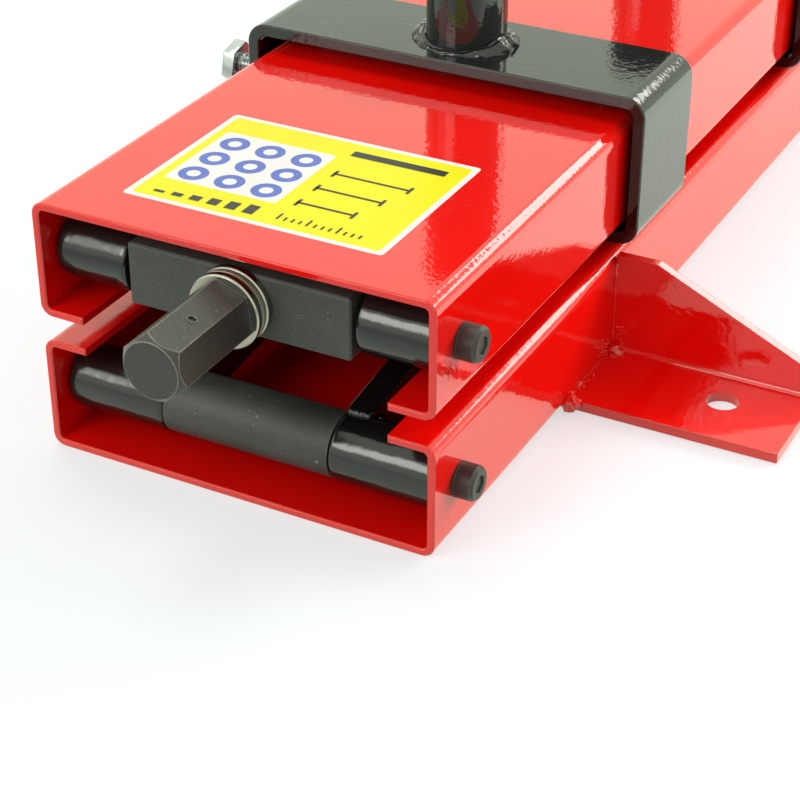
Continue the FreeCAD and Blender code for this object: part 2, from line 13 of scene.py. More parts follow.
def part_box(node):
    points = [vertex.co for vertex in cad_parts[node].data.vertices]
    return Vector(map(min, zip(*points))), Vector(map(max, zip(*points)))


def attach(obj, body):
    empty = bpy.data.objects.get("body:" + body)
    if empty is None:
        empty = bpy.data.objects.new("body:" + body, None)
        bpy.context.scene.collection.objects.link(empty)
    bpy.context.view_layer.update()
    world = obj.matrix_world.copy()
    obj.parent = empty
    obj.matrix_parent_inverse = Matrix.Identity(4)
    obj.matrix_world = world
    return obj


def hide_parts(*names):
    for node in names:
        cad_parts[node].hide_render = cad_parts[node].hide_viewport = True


bl_info = {
    "name": "Motorcycle jack",
    "version": (1, 0, 0),
    "blender": (4, 5, 0),
    "location": "View3D > Sidebar > Jack",
    "description": "Dresses the jack with paint, steel, weld beads, threads and a decal",
    "category": "Object",
}

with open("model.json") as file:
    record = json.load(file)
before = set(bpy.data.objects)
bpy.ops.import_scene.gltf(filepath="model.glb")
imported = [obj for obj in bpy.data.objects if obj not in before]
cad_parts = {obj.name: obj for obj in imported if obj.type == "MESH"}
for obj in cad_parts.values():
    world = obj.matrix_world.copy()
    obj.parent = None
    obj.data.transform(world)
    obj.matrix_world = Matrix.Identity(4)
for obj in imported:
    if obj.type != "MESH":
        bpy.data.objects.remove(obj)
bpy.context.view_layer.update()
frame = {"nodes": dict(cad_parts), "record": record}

MM = 0.001
AXIS_X = Vector((1.0, 0.0, 0.0))
AXIS_Y = Vector((0.0, 1.0, 0.0))
AXIS_Z = Vector((0.0, 0.0, 1.0))
FULL_TURN = 2.0 * math.pi
CARRIERS = ("front", "rear")
SIDES = (("left", -1), ("right", 1))
MERGE_DISTANCE = 0.02 * MM

# Degrees between two faces above which their edge stays sharp
PIECE_SMOOTH = 35.0
BEAD_SMOOTH = 70.0
SPATTER_SMOOTH = 80.0

# Posts
POST_RADIUS = 16.0 * MM
POST_BORE = 13.0 * MM
POST_RIM = 0.6 * MM

# Feet and arms, as the weld beads meet them
FOOT_PLATE = 4.0 * MM
ARM_RISE = 54.6 * MM
ARM_RUN = 424.5 * MM
ARM_EDGE_AHEAD = 5.2 * MM
ARM_EDGE_ACROSS = 11.7 * MM
WELD_HALF_ARC = math.radians(46.25)

# Sleeves: bore, rounding of their two ends and how far the paint swells
SLEEVE_BORE = 8.05 * MM
SLEEVE_NEAR_ROUND = 1.6 * MM
SLEEVE_FAR_ROUND = 3.4 * MM
PAINT_STEP = 0.9 * MM
PAINT_SWELL = 0.13 * MM
PAINT_RIPPLE = 0.035 * MM
PAINT_SINK = 0.05 * MM

# Lead screw: its end in the drive head and the collar behind it
SCREW_END = 6.0 * MM
SCREW_COLLAR = 7.5 * MM

# Lock bolts
BOLT_RADIUS = 5.0 * MM
BOLT_HEAD = 6.4 * MM
BOLT_FLATS = 17.0 * MM
BOLT_TURN = math.radians(15.0)

# Socket head screws
HEAD_RADIUS = 6.5 * MM
HEAD_TEETH = 48
HEAD_KNURL = 0.03 * MM
SOCKET_FLATS = 6.0 * MM
SOCKET_DEPTH = 4.0 * MM
SOCKET_TURN = math.radians(30.0)

# Drive head: half its width across flats, and lean of the cross pin from level
HEX_FACE = 11.0 * MM
PIN_LEAN = math.radians(70.0)

# Decal: its front left corner on the channel, in millimetres, and its film
DECAL_LEFT = -54.7
DECAL_FRONT = 20.7
DECAL_MARGIN = 2.4
DECAL_CORNER = 1.6 * MM
DECAL_FILM = 0.06 * MM

# Camera of the photograph, fitted to the jack's sizes
PHOTO_WIDTH = 800
FOCAL_PIXELS = 2042.0
SENSOR_WIDTH = 36.0
CAMERA_PLACE = (0.3308, -0.7383, 0.4108)
CAMERA_FORWARD = (-0.39535, 0.75499, -0.52316)
CAMERA_UP = (-0.24456, 0.46248, 0.85224)

# Colours of the studio as it is seen and as the gloss paint mirrors it
WHITE = (1.0, 1.0, 1.0)
MIRROR_TINT = (1.36, 1.50, 1.24)
LAMP_COLOUR = (1.0, 0.965, 0.92)
WORLD_LEVEL = 0.40
FLOOR_LEVEL = 0.60

# Turn of the rim strip about its own aim, so that the channels' long bends mirror all of it
RIM_ROLL = math.radians(28.0)

# What all colours and all lengths of the panel share
COLOUR = {"subtype": "COLOR", "size": 3, "min": 0.0, "max": 1.0}
LENGTH = {"subtype": "DISTANCE", "unit": "LENGTH"}


class JackColours(bpy.types.PropertyGroup):
    """Colours of the finishes."""

    red: bpy.props.FloatVectorProperty(
        name="Red enamel", description="Colour of the channels and feet",
        default=(0.95, 0.005, 0.0022), **COLOUR,
    )
    black: bpy.props.FloatVectorProperty(
        name="Black enamel", description="Colour of the brackets, posts, arms and sleeves",
        default=(0.0075, 0.0095, 0.008), **COLOUR,
    )
    phosphate: bpy.props.FloatVectorProperty(
        name="Black phosphate", description="Colour of the blocks, shafts and rollers",
        default=(0.050, 0.056, 0.049), **COLOUR,
    )
    oxide: bpy.props.FloatVectorProperty(
        name="Black oxide", description="Colour of the drive head and the screws",
        default=(0.022, 0.020, 0.017), **COLOUR,
    )
    steel: bpy.props.FloatVectorProperty(
        name="Bright steel", description="Colour of the bearing and the lead screw",
        default=(0.38, 0.365, 0.32), **COLOUR,
    )
    zinc: bpy.props.FloatVectorProperty(
        name="Zinc plate", description="Colour of the lock bolts",
        default=(0.47, 0.49, 0.51), **COLOUR,
    )
    decal: bpy.props.FloatVectorProperty(
        name="Decal yellow", description="Ground colour of the decal",
        default=(0.93, 0.86, 0.01), **COLOUR,
    )


class JackSizes(bpy.types.PropertyGroup):
    """Sizes of the weld beads, the threads and the decal."""

    weld_width: bpy.props.FloatProperty(
        name="Post weld width", description="How far the weld reaches from the post",
        default=0.0062, min=0.001, max=0.012, **LENGTH,
    )
    weld_height: bpy.props.FloatProperty(
        name="Post weld height", description="How far the weld climbs the post",
        default=0.0058, min=0.001, max=0.012, **LENGTH,
    )
    foot_weld: bpy.props.FloatProperty(
        name="Foot weld size", description="Radius of the bead between foot and channel",
        default=0.0016, min=0.0005, max=0.005, **LENGTH,
    )
    sleeve_weld: bpy.props.FloatProperty(
        name="Sleeve weld size", description="Radius of the bead between arm and sleeve",
        default=0.0016, min=0.0005, max=0.005, **LENGTH,
    )
    bolt_pitch: bpy.props.FloatProperty(
        name="Lock bolt pitch", description="Distance between threads of the lock bolts",
        default=0.0015, min=0.0005, max=0.003, **LENGTH,
    )
    bolt_thread: bpy.props.FloatProperty(
        name="Lock bolt thread depth", description="Depth of the lock bolts' thread",
        default=0.0008, min=0.0002, max=0.002, **LENGTH,
    )
    screw_pitch: bpy.props.FloatProperty(
        name="Lead screw pitch", description="Distance between threads of the lead screw",
        default=0.004, min=0.001, max=0.008, **LENGTH,
    )
    screw_thread: bpy.props.FloatProperty(
        name="Lead screw thread depth", description="Depth of the lead screw's thread",
        default=0.0019, min=0.0005, max=0.004, **LENGTH,
    )
    decal_width: bpy.props.FloatProperty(
        name="Decal width", description="Size of the decal across the channel",
        default=0.103, min=0.02, max=0.14, **LENGTH,
    )
    decal_length: bpy.props.FloatProperty(
        name="Decal length", description="Size of the decal along the channel",
        default=0.076, min=0.02, max=0.12, **LENGTH,
    )


# Node groups

def new_group(name, inputs, outputs):
    """Shader node group of numbers, apart from an output named Normal; returns its tree and ends."""
    tree = bpy.data.node_groups.new(name, "ShaderNodeTree")
    for label, value in inputs.items():
        socket = tree.interface.new_socket(name=label, in_out="INPUT", socket_type="NodeSocketFloat")
        socket.default_value = value
    for label in outputs:
        kind = "NodeSocketVector" if label == "Normal" else "NodeSocketFloat"
        tree.interface.new_socket(name=label, in_out="OUTPUT", socket_type=kind)
    return tree, tree.nodes.new("NodeGroupInput").outputs, tree.nodes.new("NodeGroupOutput")


def feed(tree, node, inputs):
    """Link sockets to a node's inputs, or set the inputs to plain values."""
    for label, value in inputs.items():
        if isinstance(value, bpy.types.NodeSocket):
            tree.links.new(value, node.inputs[label])
        else:
            node.inputs[label].default_value = value


def new_node(tree, kind, inputs=None, **settings):
    """Node of a kind, with its settings and inputs; returns its outputs."""
    node = tree.nodes.new(kind)
    for label, value in settings.items():
        setattr(node, label, value)
    feed(tree, node, inputs or {})
    return node.outputs


def math_node(tree, operation, first, second=0.0, clamp=False):
    """Result of a sum on sockets or numbers."""
    inputs = {0: first, 1: second}
    return new_node(tree, "ShaderNodeMath", inputs, operation=operation, use_clamp=clamp)[0]


def times(tree, first, second, clamp=False):
    """Product of two sockets or numbers."""
    return math_node(tree, "MULTIPLY", first, second, clamp)


def plus(tree, first, second):
    """Sum of two sockets or numbers."""
    return math_node(tree, "ADD", first, second)


def minus(tree, first, second):
    """Difference of two sockets or numbers."""
    return math_node(tree, "SUBTRACT", first, second)


def mix_colour(tree, factor, first, second):
    """Mix of two colours, which are sockets or plain values."""
    inputs = {0: factor}
    for index, colour in ((6, first), (7, second)):
        inputs[index] = colour if isinstance(colour, bpy.types.NodeSocket) else (*colour, 1.0)
    return new_node(tree, "ShaderNodeMix", inputs, data_type="RGBA")[2]


def toned(tree, mask, colour, share):
    """Colour that falls to a share of itself where the mask is dark."""
    return mix_colour(tree, mask, [c * share for c in colour], colour)


def ramp(tree, value, low, high):
    """Value moved from low..high to 0..1 and clamped there."""
    inputs = {"Value": value, "From Min": low, "From Max": high}
    return new_node(tree, "ShaderNodeMapRange", inputs)["Result"]


def object_coordinates(tree, stretch=(1.0, 1.0, 1.0)):
    """Object coordinates, stretched along the axes."""
    coordinates = new_node(tree, "ShaderNodeTexCoord")["Object"]
    return new_node(tree, "ShaderNodeMapping", {"Vector": coordinates, "Scale": stretch})["Vector"]


def noise_value(tree, vector, scale, detail, roughness):
    """Value of a noise whose scale is a socket or a number."""
    inputs = {"Vector": vector, "Scale": scale, "Detail": detail, "Roughness": roughness}
    return new_node(tree, "ShaderNodeTexNoise", inputs)["Fac"]


def dots(tree, vector, scale, rim, core):
    """Mask of round dots, which starts at the rim and is full at the core."""
    inputs = {"Vector": vector, "Scale": scale}
    distance = new_node(tree, "ShaderNodeTexVoronoi", inputs, feature="F1")["Distance"]
    return ramp(tree, distance, rim, core)


def edge_group():
    """Mask of a piece's sharp edges, broken up by noise, and a normal that rounds them."""
    inputs = {"Radius": 0.0006, "Breakup": 0.5, "Scale": 400.0}
    tree, entry, result = new_group("Edge wear and highlight", inputs, ("Mask", "Normal"))
    rounded = new_node(tree, "ShaderNodeBevel", {"Radius": entry["Radius"]}, samples=6)["Normal"]
    both = {0: rounded, 1: new_node(tree, "ShaderNodeNewGeometry")["Normal"]}
    likeness = new_node(tree, "ShaderNodeVectorMath", both, operation="DOT_PRODUCT")["Value"]
    sharp = ramp(tree, minus(tree, 1.0, likeness), low=0.006, high=0.07)
    grain = noise_value(tree, object_coordinates(tree), entry["Scale"], 4.0, 0.6)
    broken = times(tree, minus(tree, grain, 0.45), 3.0, clamp=True)
    whole = minus(tree, 1.0, entry["Breakup"])
    share = plus(tree, times(tree, broken, entry["Breakup"]), whole)
    feed(tree, result, {"Mask": times(tree, sharp, share, clamp=True), "Normal": rounded})
    return tree


def paint_group():
    """Height of brushed-on gloss paint: slow waves, orange peel and dust nibs, with a dust mask."""
    inputs = {"Wave Scale": 30.0, "Peel Scale": 420.0, "Peel": 0.25, "Dust Scale": 260.0}
    tree, entry, result = new_group("Paint film", inputs, ("Height", "Dust", "Tone"))
    coordinates = object_coordinates(tree)
    drawn = object_coordinates(tree, stretch=(1.0, 0.22, 1.0))
    wave = noise_value(tree, drawn, entry["Wave Scale"], 2.0, 0.45)
    peel = noise_value(tree, coordinates, entry["Peel Scale"], 2.0, 0.5)
    nib = dots(tree, coordinates, entry["Dust Scale"], rim=0.16, core=0.05)
    few = ramp(tree, noise_value(tree, coordinates, 95.0, 1.0, 0.5), low=0.60, high=0.68)
    dust = times(tree, nib, few, clamp=True)
    film = plus(tree, wave, times(tree, peel, entry["Peel"]))
    height = plus(tree, film, times(tree, dust, 0.12))
    feed(tree, result, {"Height": height, "Dust": dust, "Tone": ramp(tree, wave, low=0.3, high=0.7)})
    return tree


def scuff_group():
    """Speckle, scratches and cloudy tone of a dark metal surface."""
    inputs = {"Speck Scale": 500.0, "Speck": 0.6, "Scratch": 0.5}
    tree, entry, result = new_group("Scuffs and specks", inputs, ("Light", "Cloud", "Height"))
    coordinates = object_coordinates(tree)
    dot = dots(tree, coordinates, entry["Speck Scale"], rim=0.22, core=0.08)
    patch = ramp(tree, noise_value(tree, coordinates, 120.0, 2.0, 0.6), low=0.58, high=0.70)
    specks = times(tree, times(tree, dot, patch), entry["Speck"])
    drawn = object_coordinates(tree, stretch=(1.0, 9.0, 14.0))
    scratch = ramp(tree, noise_value(tree, drawn, 160.0, 3.0, 0.7), low=0.70, high=0.76)
    cloud = noise_value(tree, coordinates, 55.0, 4.0, 0.6)
    feed(tree, result, {
        "Light": math_node(tree, "MAXIMUM", specks, times(tree, scratch, entry["Scratch"])),
        "Cloud": ramp(tree, cloud, low=0.3, high=0.7),
        "Height": noise_value(tree, coordinates, 1400.0, 3.0, 0.6),
    })
    return tree


# Finishes

def placed_group(tree, group, **values):
    """Group node in a material, with its own values; returns its outputs."""
    inputs = {label.replace("_", " "): value for label, value in values.items()}
    return new_node(tree, "ShaderNodeGroup", inputs, node_tree=group)


def blank_material(name):
    """Material with only a Principled BSDF; returns it with its tree and shader."""
    material = bpy.data.materials.new(name)
    material.use_nodes = True
    tree = material.node_tree
    return material, tree, tree.nodes["Principled BSDF"]


def bump(tree, height, strength, distance, normal=None):
    """Normal bumped by a height, on top of another normal if one is given."""
    inputs = {"Strength": strength, "Distance": distance, "Height": height}
    if normal is not None:
        inputs["Normal"] = normal
    return new_node(tree, "ShaderNodeBump", inputs)["Normal"]


def enamel(name, groups, colour, light, ior, roughness, wave_depth):
    """Gloss paint: waves and orange peel, sharp edges painted paler as a painted highlight, a few dust
    nibs.
    """
    material, tree, shader = blank_material(name)
    film = placed_group(tree, groups["paint"])
    edge = placed_group(tree, groups["edge"], Radius=0.00035, Breakup=0.35, Scale=220.0)
    tone = toned(tree, film["Tone"], colour, 0.90)
    # Painted highlight: sharp edges are mixed about a third of the way towards the pale colour.
    edge_wear_and_highlight = mix_colour(tree, times(tree, edge["Mask"], 0.35), tone, light)
    feed(tree, shader, {
        "Base Color": mix_colour(tree, times(tree, film["Dust"], 0.35), edge_wear_and_highlight, light),
        "Roughness": plus(tree, times(tree, film["Dust"], 0.25), roughness),
        "IOR": ior,
        "Normal": bump(tree, film["Height"], 1.0, wave_depth, edge["Normal"]),
    })
    return material


def dark_metal(
    name, groups, colour, light, roughness, cloud, metallic=0.0, speck=0.6, scratch=0.5, edge=0.6,
    wear_radius=0.0006, speck_scale=500.0, grit=0.20,
):
    """Dark treated steel with mottling, specks, scratches and bright worn edges."""
    material, tree, shader = blank_material(name)
    scuff = placed_group(
        tree, groups["scuff"], Speck=speck, Scratch=scratch, Speck_Scale=speck_scale
    )
    edge_wear_and_highlight = placed_group(tree, groups["edge"], Radius=wear_radius, Breakup=0.55, Scale=700.0)
    base = toned(tree, scuff["Cloud"], colour, 1.0 - cloud)
    grains = ramp(tree, scuff["Height"], low=0.52, high=0.74)
    base = mix_colour(tree, times(tree, grains, grit), base, light)
    mask = math_node(tree, "MAXIMUM", scuff["Light"], times(tree, edge_wear_and_highlight["Mask"], edge))
    feed(tree, shader, {
        "Base Color": mix_colour(tree, mask, base, light),
        "Roughness": plus(tree, times(tree, mask, -0.15), roughness),
        "Metallic": metallic,
        "Normal": bump(tree, scuff["Height"], 0.35, 0.00004, edge_wear_and_highlight["Normal"]),
    })
    return material


def bright_metal(name, groups, colour, roughness, lines):
    """Ground or plated steel with fine lines and faint stains."""
    material, tree, shader = blank_material(name)
    scuff = placed_group(tree, groups["scuff"], Speck=0.2, Scratch=0.3)
    edge_wear_and_highlight = placed_group(tree, groups["edge"], Radius=0.0003, Breakup=0.2, Scale=900.0)
    grain = noise_value(tree, object_coordinates(tree, lines), 900.0, 2.0, 0.5)
    feed(tree, shader, {
        "Base Color": toned(tree, scuff["Cloud"], colour, 0.82),
        "Roughness": plus(tree, times(tree, grain, 0.16), roughness),
        "Metallic": 1.0,
        "Normal": bump(tree, grain, 0.25, 0.00002, edge_wear_and_highlight["Normal"]),
    })
    return material


def plain_print(name, groups, colour):
    """Printed film of the decal: satin, faintly uneven."""
    material, tree, shader = blank_material(name)
    film = placed_group(tree, groups["paint"], Peel=0.4)
    feed(tree, shader, {
        "Base Color": toned(tree, film["Tone"], colour, 0.94),
        "Roughness": 0.35,
        "Specular IOR Level": 0.18,
        "Normal": bump(tree, film["Height"], 0.5, 0.00004),
    })
    return material


MATERIALS = {}

# Nodes whose finish isn't simply that of their slot
FINISH_OF = {
    "lower_front_shaft": "scuffed_phosphate", "lower_rear_shaft": "scuffed_phosphate",
    "hex_drive_head": "worn_oxide", "centre_shaft": "scuffed_phosphate",
}


def slot_of(node):
    """Name of the material slot that the record gives a node."""
    return next(part["material_slot"] for part in frame["record"]["subparts"] if part["node"] == node)


# Shapes

def mesh_of(bm, name):
    """Mesh made from a bmesh, which is freed."""
    mesh = bpy.data.meshes.new(name)
    bm.to_mesh(mesh)
    bm.free()
    return mesh


def merge(bm, other):
    """Add the shape of another bmesh, which is freed."""
    mesh = mesh_of(other, "merged")
    bm.from_mesh(mesh)
    bpy.data.meshes.remove(mesh)


def add_piece(name, bm, body, slot, material=None, replaces=(), smooth_angle=PIECE_SMOOTH):
    """Turn a bmesh into a piece that rides on a body."""
    mesh = mesh_of(bm, name)
    piece = bpy.data.objects.new(name, mesh)
    bpy.context.scene.collection.objects.link(piece)
    mesh.materials.append(MATERIALS[material or slot])
    mesh.shade_smooth()
    mesh.set_sharp_from_angle(angle=math.radians(smooth_angle))
    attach(piece, body)
    if replaces:
        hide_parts(*replaces)
    return piece


def middle(node):
    """Middle of a node's box."""
    low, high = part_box(node)
    return (low + high) / 2


def side_of(axis):
    """Direction across an axis."""
    return AXIS_X if abs(axis.dot(AXIS_X)) < 0.5 else AXIS_Z


def standing(axis):
    """Matrix that turns +Z to an axis."""
    return axis.to_track_quat("Z", "Y").to_matrix().to_4x4()


def line(bm, points):
    """Vertices at points, with the edges between them."""
    verts = [bm.verts.new(point) for point in points]
    return verts + [bm.edges.new(pair) for pair in zip(verts, verts[1:])]


def full_spin(bm, points, centre, axis, steps):
    """Spin a line of points a full turn round an axis."""
    bmesh.ops.spin(
        bm, geom=line(bm, points), cent=centre, axis=axis, angle=FULL_TURN, steps=steps,
        use_merge=True, use_duplicate=False,
    )


def spun(outline, centre, axis, steps):
    """Closed turned shape: outline points (radius, height) spun round an axis through the centre."""
    bm = bmesh.new()
    side = side_of(axis)
    points = [centre + side * radius + axis * height for radius, height in outline]
    full_spin(bm, points, centre, axis, steps)
    bmesh.ops.remove_doubles(bm, verts=bm.verts, dist=MERGE_DISTANCE)
    bmesh.ops.recalc_face_normals(bm, faces=bm.faces)
    return bm


def softened(bm, geom, offset, segments, affect="EDGES"):
    """Round off edges or corners."""
    bmesh.ops.bevel(
        bm, geom=geom, offset=offset, offset_type="OFFSET", segments=segments, profile=0.5,
        affect=affect, material=-1,
    )


def new_verts(made):
    """Vertices among what an operator made."""
    return [v for v in made if isinstance(v, bmesh.types.BMVert)]


def widen(verts, share):
    """Scale vertices away from the local Z axis."""
    for vert in verts:
        vert.co.x *= share
        vert.co.y *= share


def between(first, last, count):
    """Evenly spaced points from the first place to the last."""
    return [
        Vector([a + (b - a) * k / count for a, b in zip(first, last)]) for k in range(count + 1)
    ]


def arc(x, centre, radius, first, last, count):
    """Points round an arc that faces along X, from the first angle to the last."""
    angles = [first + (last - first) * k / count for k in range(count + 1)]
    return [
        Vector((x, centre.y + radius * math.cos(angle), centre.z + radius * math.sin(angle)))
        for angle in angles
    ]


def weld_rope(points, radius, seed, steps=14, lumps=0.45):
    """Lumpy bead along points, closed at its ends."""
    bm = bmesh.new()
    rings = []
    for index, point in enumerate(points):
        ahead = points[min(index + 1, len(points) - 1)] - points[max(index - 1, 0)]
        lump = noise.noise(point * 210.0 + Vector((seed, seed, seed)))
        ripple = 0.12 * math.sin(index * 1.9)
        share = 0.45 if index in (0, len(points) - 1) else 1.0
        size = radius * share * (1.0 + lumps * lump + ripple)
        rings.append(bmesh.ops.create_circle(
            bm, cap_ends=False, radius=max(size, 0.3 * radius), segments=steps,
            matrix=Matrix.Translation(point) @ standing(ahead),
        )["verts"])
    for pair in zip(rings, rings[1:]):
        edges = {e for ring in pair for v in ring for e in v.link_edges if e.other_vert(v) in ring}
        bmesh.ops.bridge_loops(bm, edges=list(edges))
    for ring in (rings[0], rings[-1]):
        bmesh.ops.contextual_create(bm, geom=ring)
    bmesh.ops.recalc_face_normals(bm, faces=bm.faces)
    return bm


def ball(bm, place, radius, subdivisions):
    """Round blob at a place."""
    bmesh.ops.create_icosphere(
        bm, subdivisions=subdivisions, radius=radius, matrix=Matrix.Translation(place)
    )


class JACK_OT_finishes(bpy.types.Operator):
    """Make the finishes and put them on every solid of the jack"""

    bl_idname = "jack.finishes"
    bl_label = "Finishes"

    def execute(self, context):
        colours = context.scene.jack_colours
        groups = {"edge": edge_group(), "paint": paint_group(), "scuff": scuff_group()}

        def keep(maker, name, *values, **more):
            """Make a finish and keep it under its slot's name."""
            MATERIALS[name.lower().replace(" ", "_")] = maker(name, groups, *values, **more)

        # Pale colours of the enamels: a painted highlight along their sharp edges, and the colour of their
        # dust nibs.
        black_edge_highlight_and_dust = (0.035, 0.038, 0.037)
        keep(
            enamel, "Red enamel", colours.red, light=(1.0, 0.07, 0.04), ior=1.58, roughness=0.045,
            wave_depth=0.00022,
        )
        keep(
            enamel, "Black enamel", colours.black, light=black_edge_highlight_and_dust, ior=1.52, roughness=0.06,
            wave_depth=0.00026,
        )
        keep(
            enamel, "Sleeve enamel", colours.black, light=black_edge_highlight_and_dust, ior=1.55, roughness=0.15,
            wave_depth=0.00020,
        )
        keep(
            dark_metal, "Black phosphate", colours.phosphate, light=(0.24, 0.25, 0.22),
            roughness=0.60, cloud=0.34, edge=0.45,
        )
        keep(
            dark_metal, "Scuffed phosphate", [c * 0.9 for c in colours.phosphate],
            light=(0.42, 0.43, 0.38), roughness=0.58, cloud=0.45, speck=1.0, scratch=1.0, edge=0.45,
            speck_scale=260.0, grit=0.12,
        )
        keep(
            dark_metal, "Black oxide", colours.oxide, light=(0.34, 0.33, 0.28), roughness=0.46,
            cloud=0.45, speck=0.4, scratch=0.4, edge=0.40, wear_radius=0.00025, grit=0.04,
        )
        keep(
            dark_metal, "Worn oxide", [c * 2.1 for c in colours.oxide], light=(0.62, 0.61, 0.52),
            roughness=0.44, cloud=0.40, metallic=0.1, speck=0.5, scratch=0.6, edge=1.0,
            speck_scale=620.0, grit=0.05,
        )
        # The third steel is painted shade: steel at about a third of its brightness, so that the lead
        # screw's recessed end looks shadowed.
        for name, share, roughness, lines in (
            ("Bright steel", 1.0, 0.16, (1.0, 12.0, 1.0)),
            ("Cage steel", 1.5, 0.45, (1.0, 6.0, 1.0)),
            ("Oiled steel", 0.35, 0.26, (1.0, 12.0, 1.0)),
        ):
            keep(bright_metal, name, [c * share for c in colours.steel], roughness, lines)
        keep(bright_metal, "Zinc plate", colours.zinc, roughness=0.10, lines=(5.0, 1.0, 1.0))
        keep(plain_print, "Decal white", (0.90, 0.90, 0.86))
        keep(plain_print, "Decal yellow", colours.decal)
        keep(plain_print, "Decal blue", (0.13, 0.19, 0.58))
        keep(plain_print, "Decal black", (0.035, 0.035, 0.03))
        for node, solid in frame["nodes"].items():
            solid.data.materials.clear()
            solid.data.materials.append(MATERIALS[FINISH_OF.get(node, slot_of(node))])
        return {"FINISHED"}


class JACK_OT_posts(bpy.types.Operator):
    """Make the posts with softened rims and the weld at their feet"""

    bl_idname = "jack.posts"
    bl_label = "Posts"

    def execute(self, context):
        sizes = context.scene.jack_sizes
        for carrier in CARRIERS:
            node, body = f"{carrier}_post", f"{carrier}_carrier"
            low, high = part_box(node)
            centre = Vector((0.0, middle(node).y, low.z))
            tube = spun(self.outline(high.z - low.z), centre, AXIS_Z, 72)
            add_piece(f"{carrier}_post_tube", tube, body, "black_enamel", replaces=[node])
            bead = self.bead(centre, sizes.weld_width, sizes.weld_height)
            add_piece(f"{carrier}_post_weld", bead, body, "black_enamel", smooth_angle=BEAD_SMOOTH)
        return {"FINISHED"}

    def outline(self, height):
        """Section of a post's wall, with both edges of its rim rounded."""
        rim, knee = POST_RIM, 0.3 * POST_RIM
        return [
            (POST_BORE, 0.0), (POST_RADIUS, 0.0), (POST_RADIUS, height - rim),
            (POST_RADIUS - knee, height - knee), (POST_RADIUS - rim, height),
            (POST_BORE + rim, height), (POST_BORE + knee, height - knee),
            (POST_BORE, height - rim), (POST_BORE, 0.0),
        ]

    def bead(self, centre, width, height):
        """Weld round a post's foot: low in front and behind, heaped up at both sides."""
        steps, profile_steps, sunk = 180, 16, 0.4 * MM
        bm = bmesh.new()
        profile = []
        for k in range(profile_steps + 1):
            angle = 0.5 * math.pi * k / profile_steps
            out = POST_RADIUS - sunk + width * math.cos(angle)
            profile.append(centre + AXIS_X * out + AXIS_Z * (height * math.sin(angle) - sunk))
        full_spin(bm, profile, centre, AXIS_Z, steps)
        bmesh.ops.recalc_face_normals(bm, faces=bm.faces)
        for vert in bm.verts:
            away = vert.co - centre
            flat = Vector((away.x, away.y, 0.0))
            turn = math.atan2(flat.y, flat.x)
            side_share = abs(math.cos(turn + 0.12)) ** 2.0
            slow = 0.26 * noise.noise(Vector((2.6 * math.cos(turn), 2.6 * math.sin(turn), 4.2)))
            swell = 1.0 + slow + 0.16 * noise.noise(vert.co * 330.0)
            spread = (0.58 + 0.42 * side_share) * swell
            climb = (0.17 + 0.68 * side_share ** 1.5) * swell
            out = (flat.length - POST_RADIUS) * spread
            ridge = 0.20 * MM * math.sin(out * 2600.0 + 3.0 * noise.noise(vert.co * 90.0))
            foot = centre + flat.normalized() * (POST_RADIUS + out)
            vert.co = foot + AXIS_Z * (away.z * climb + ridge)
        return bm


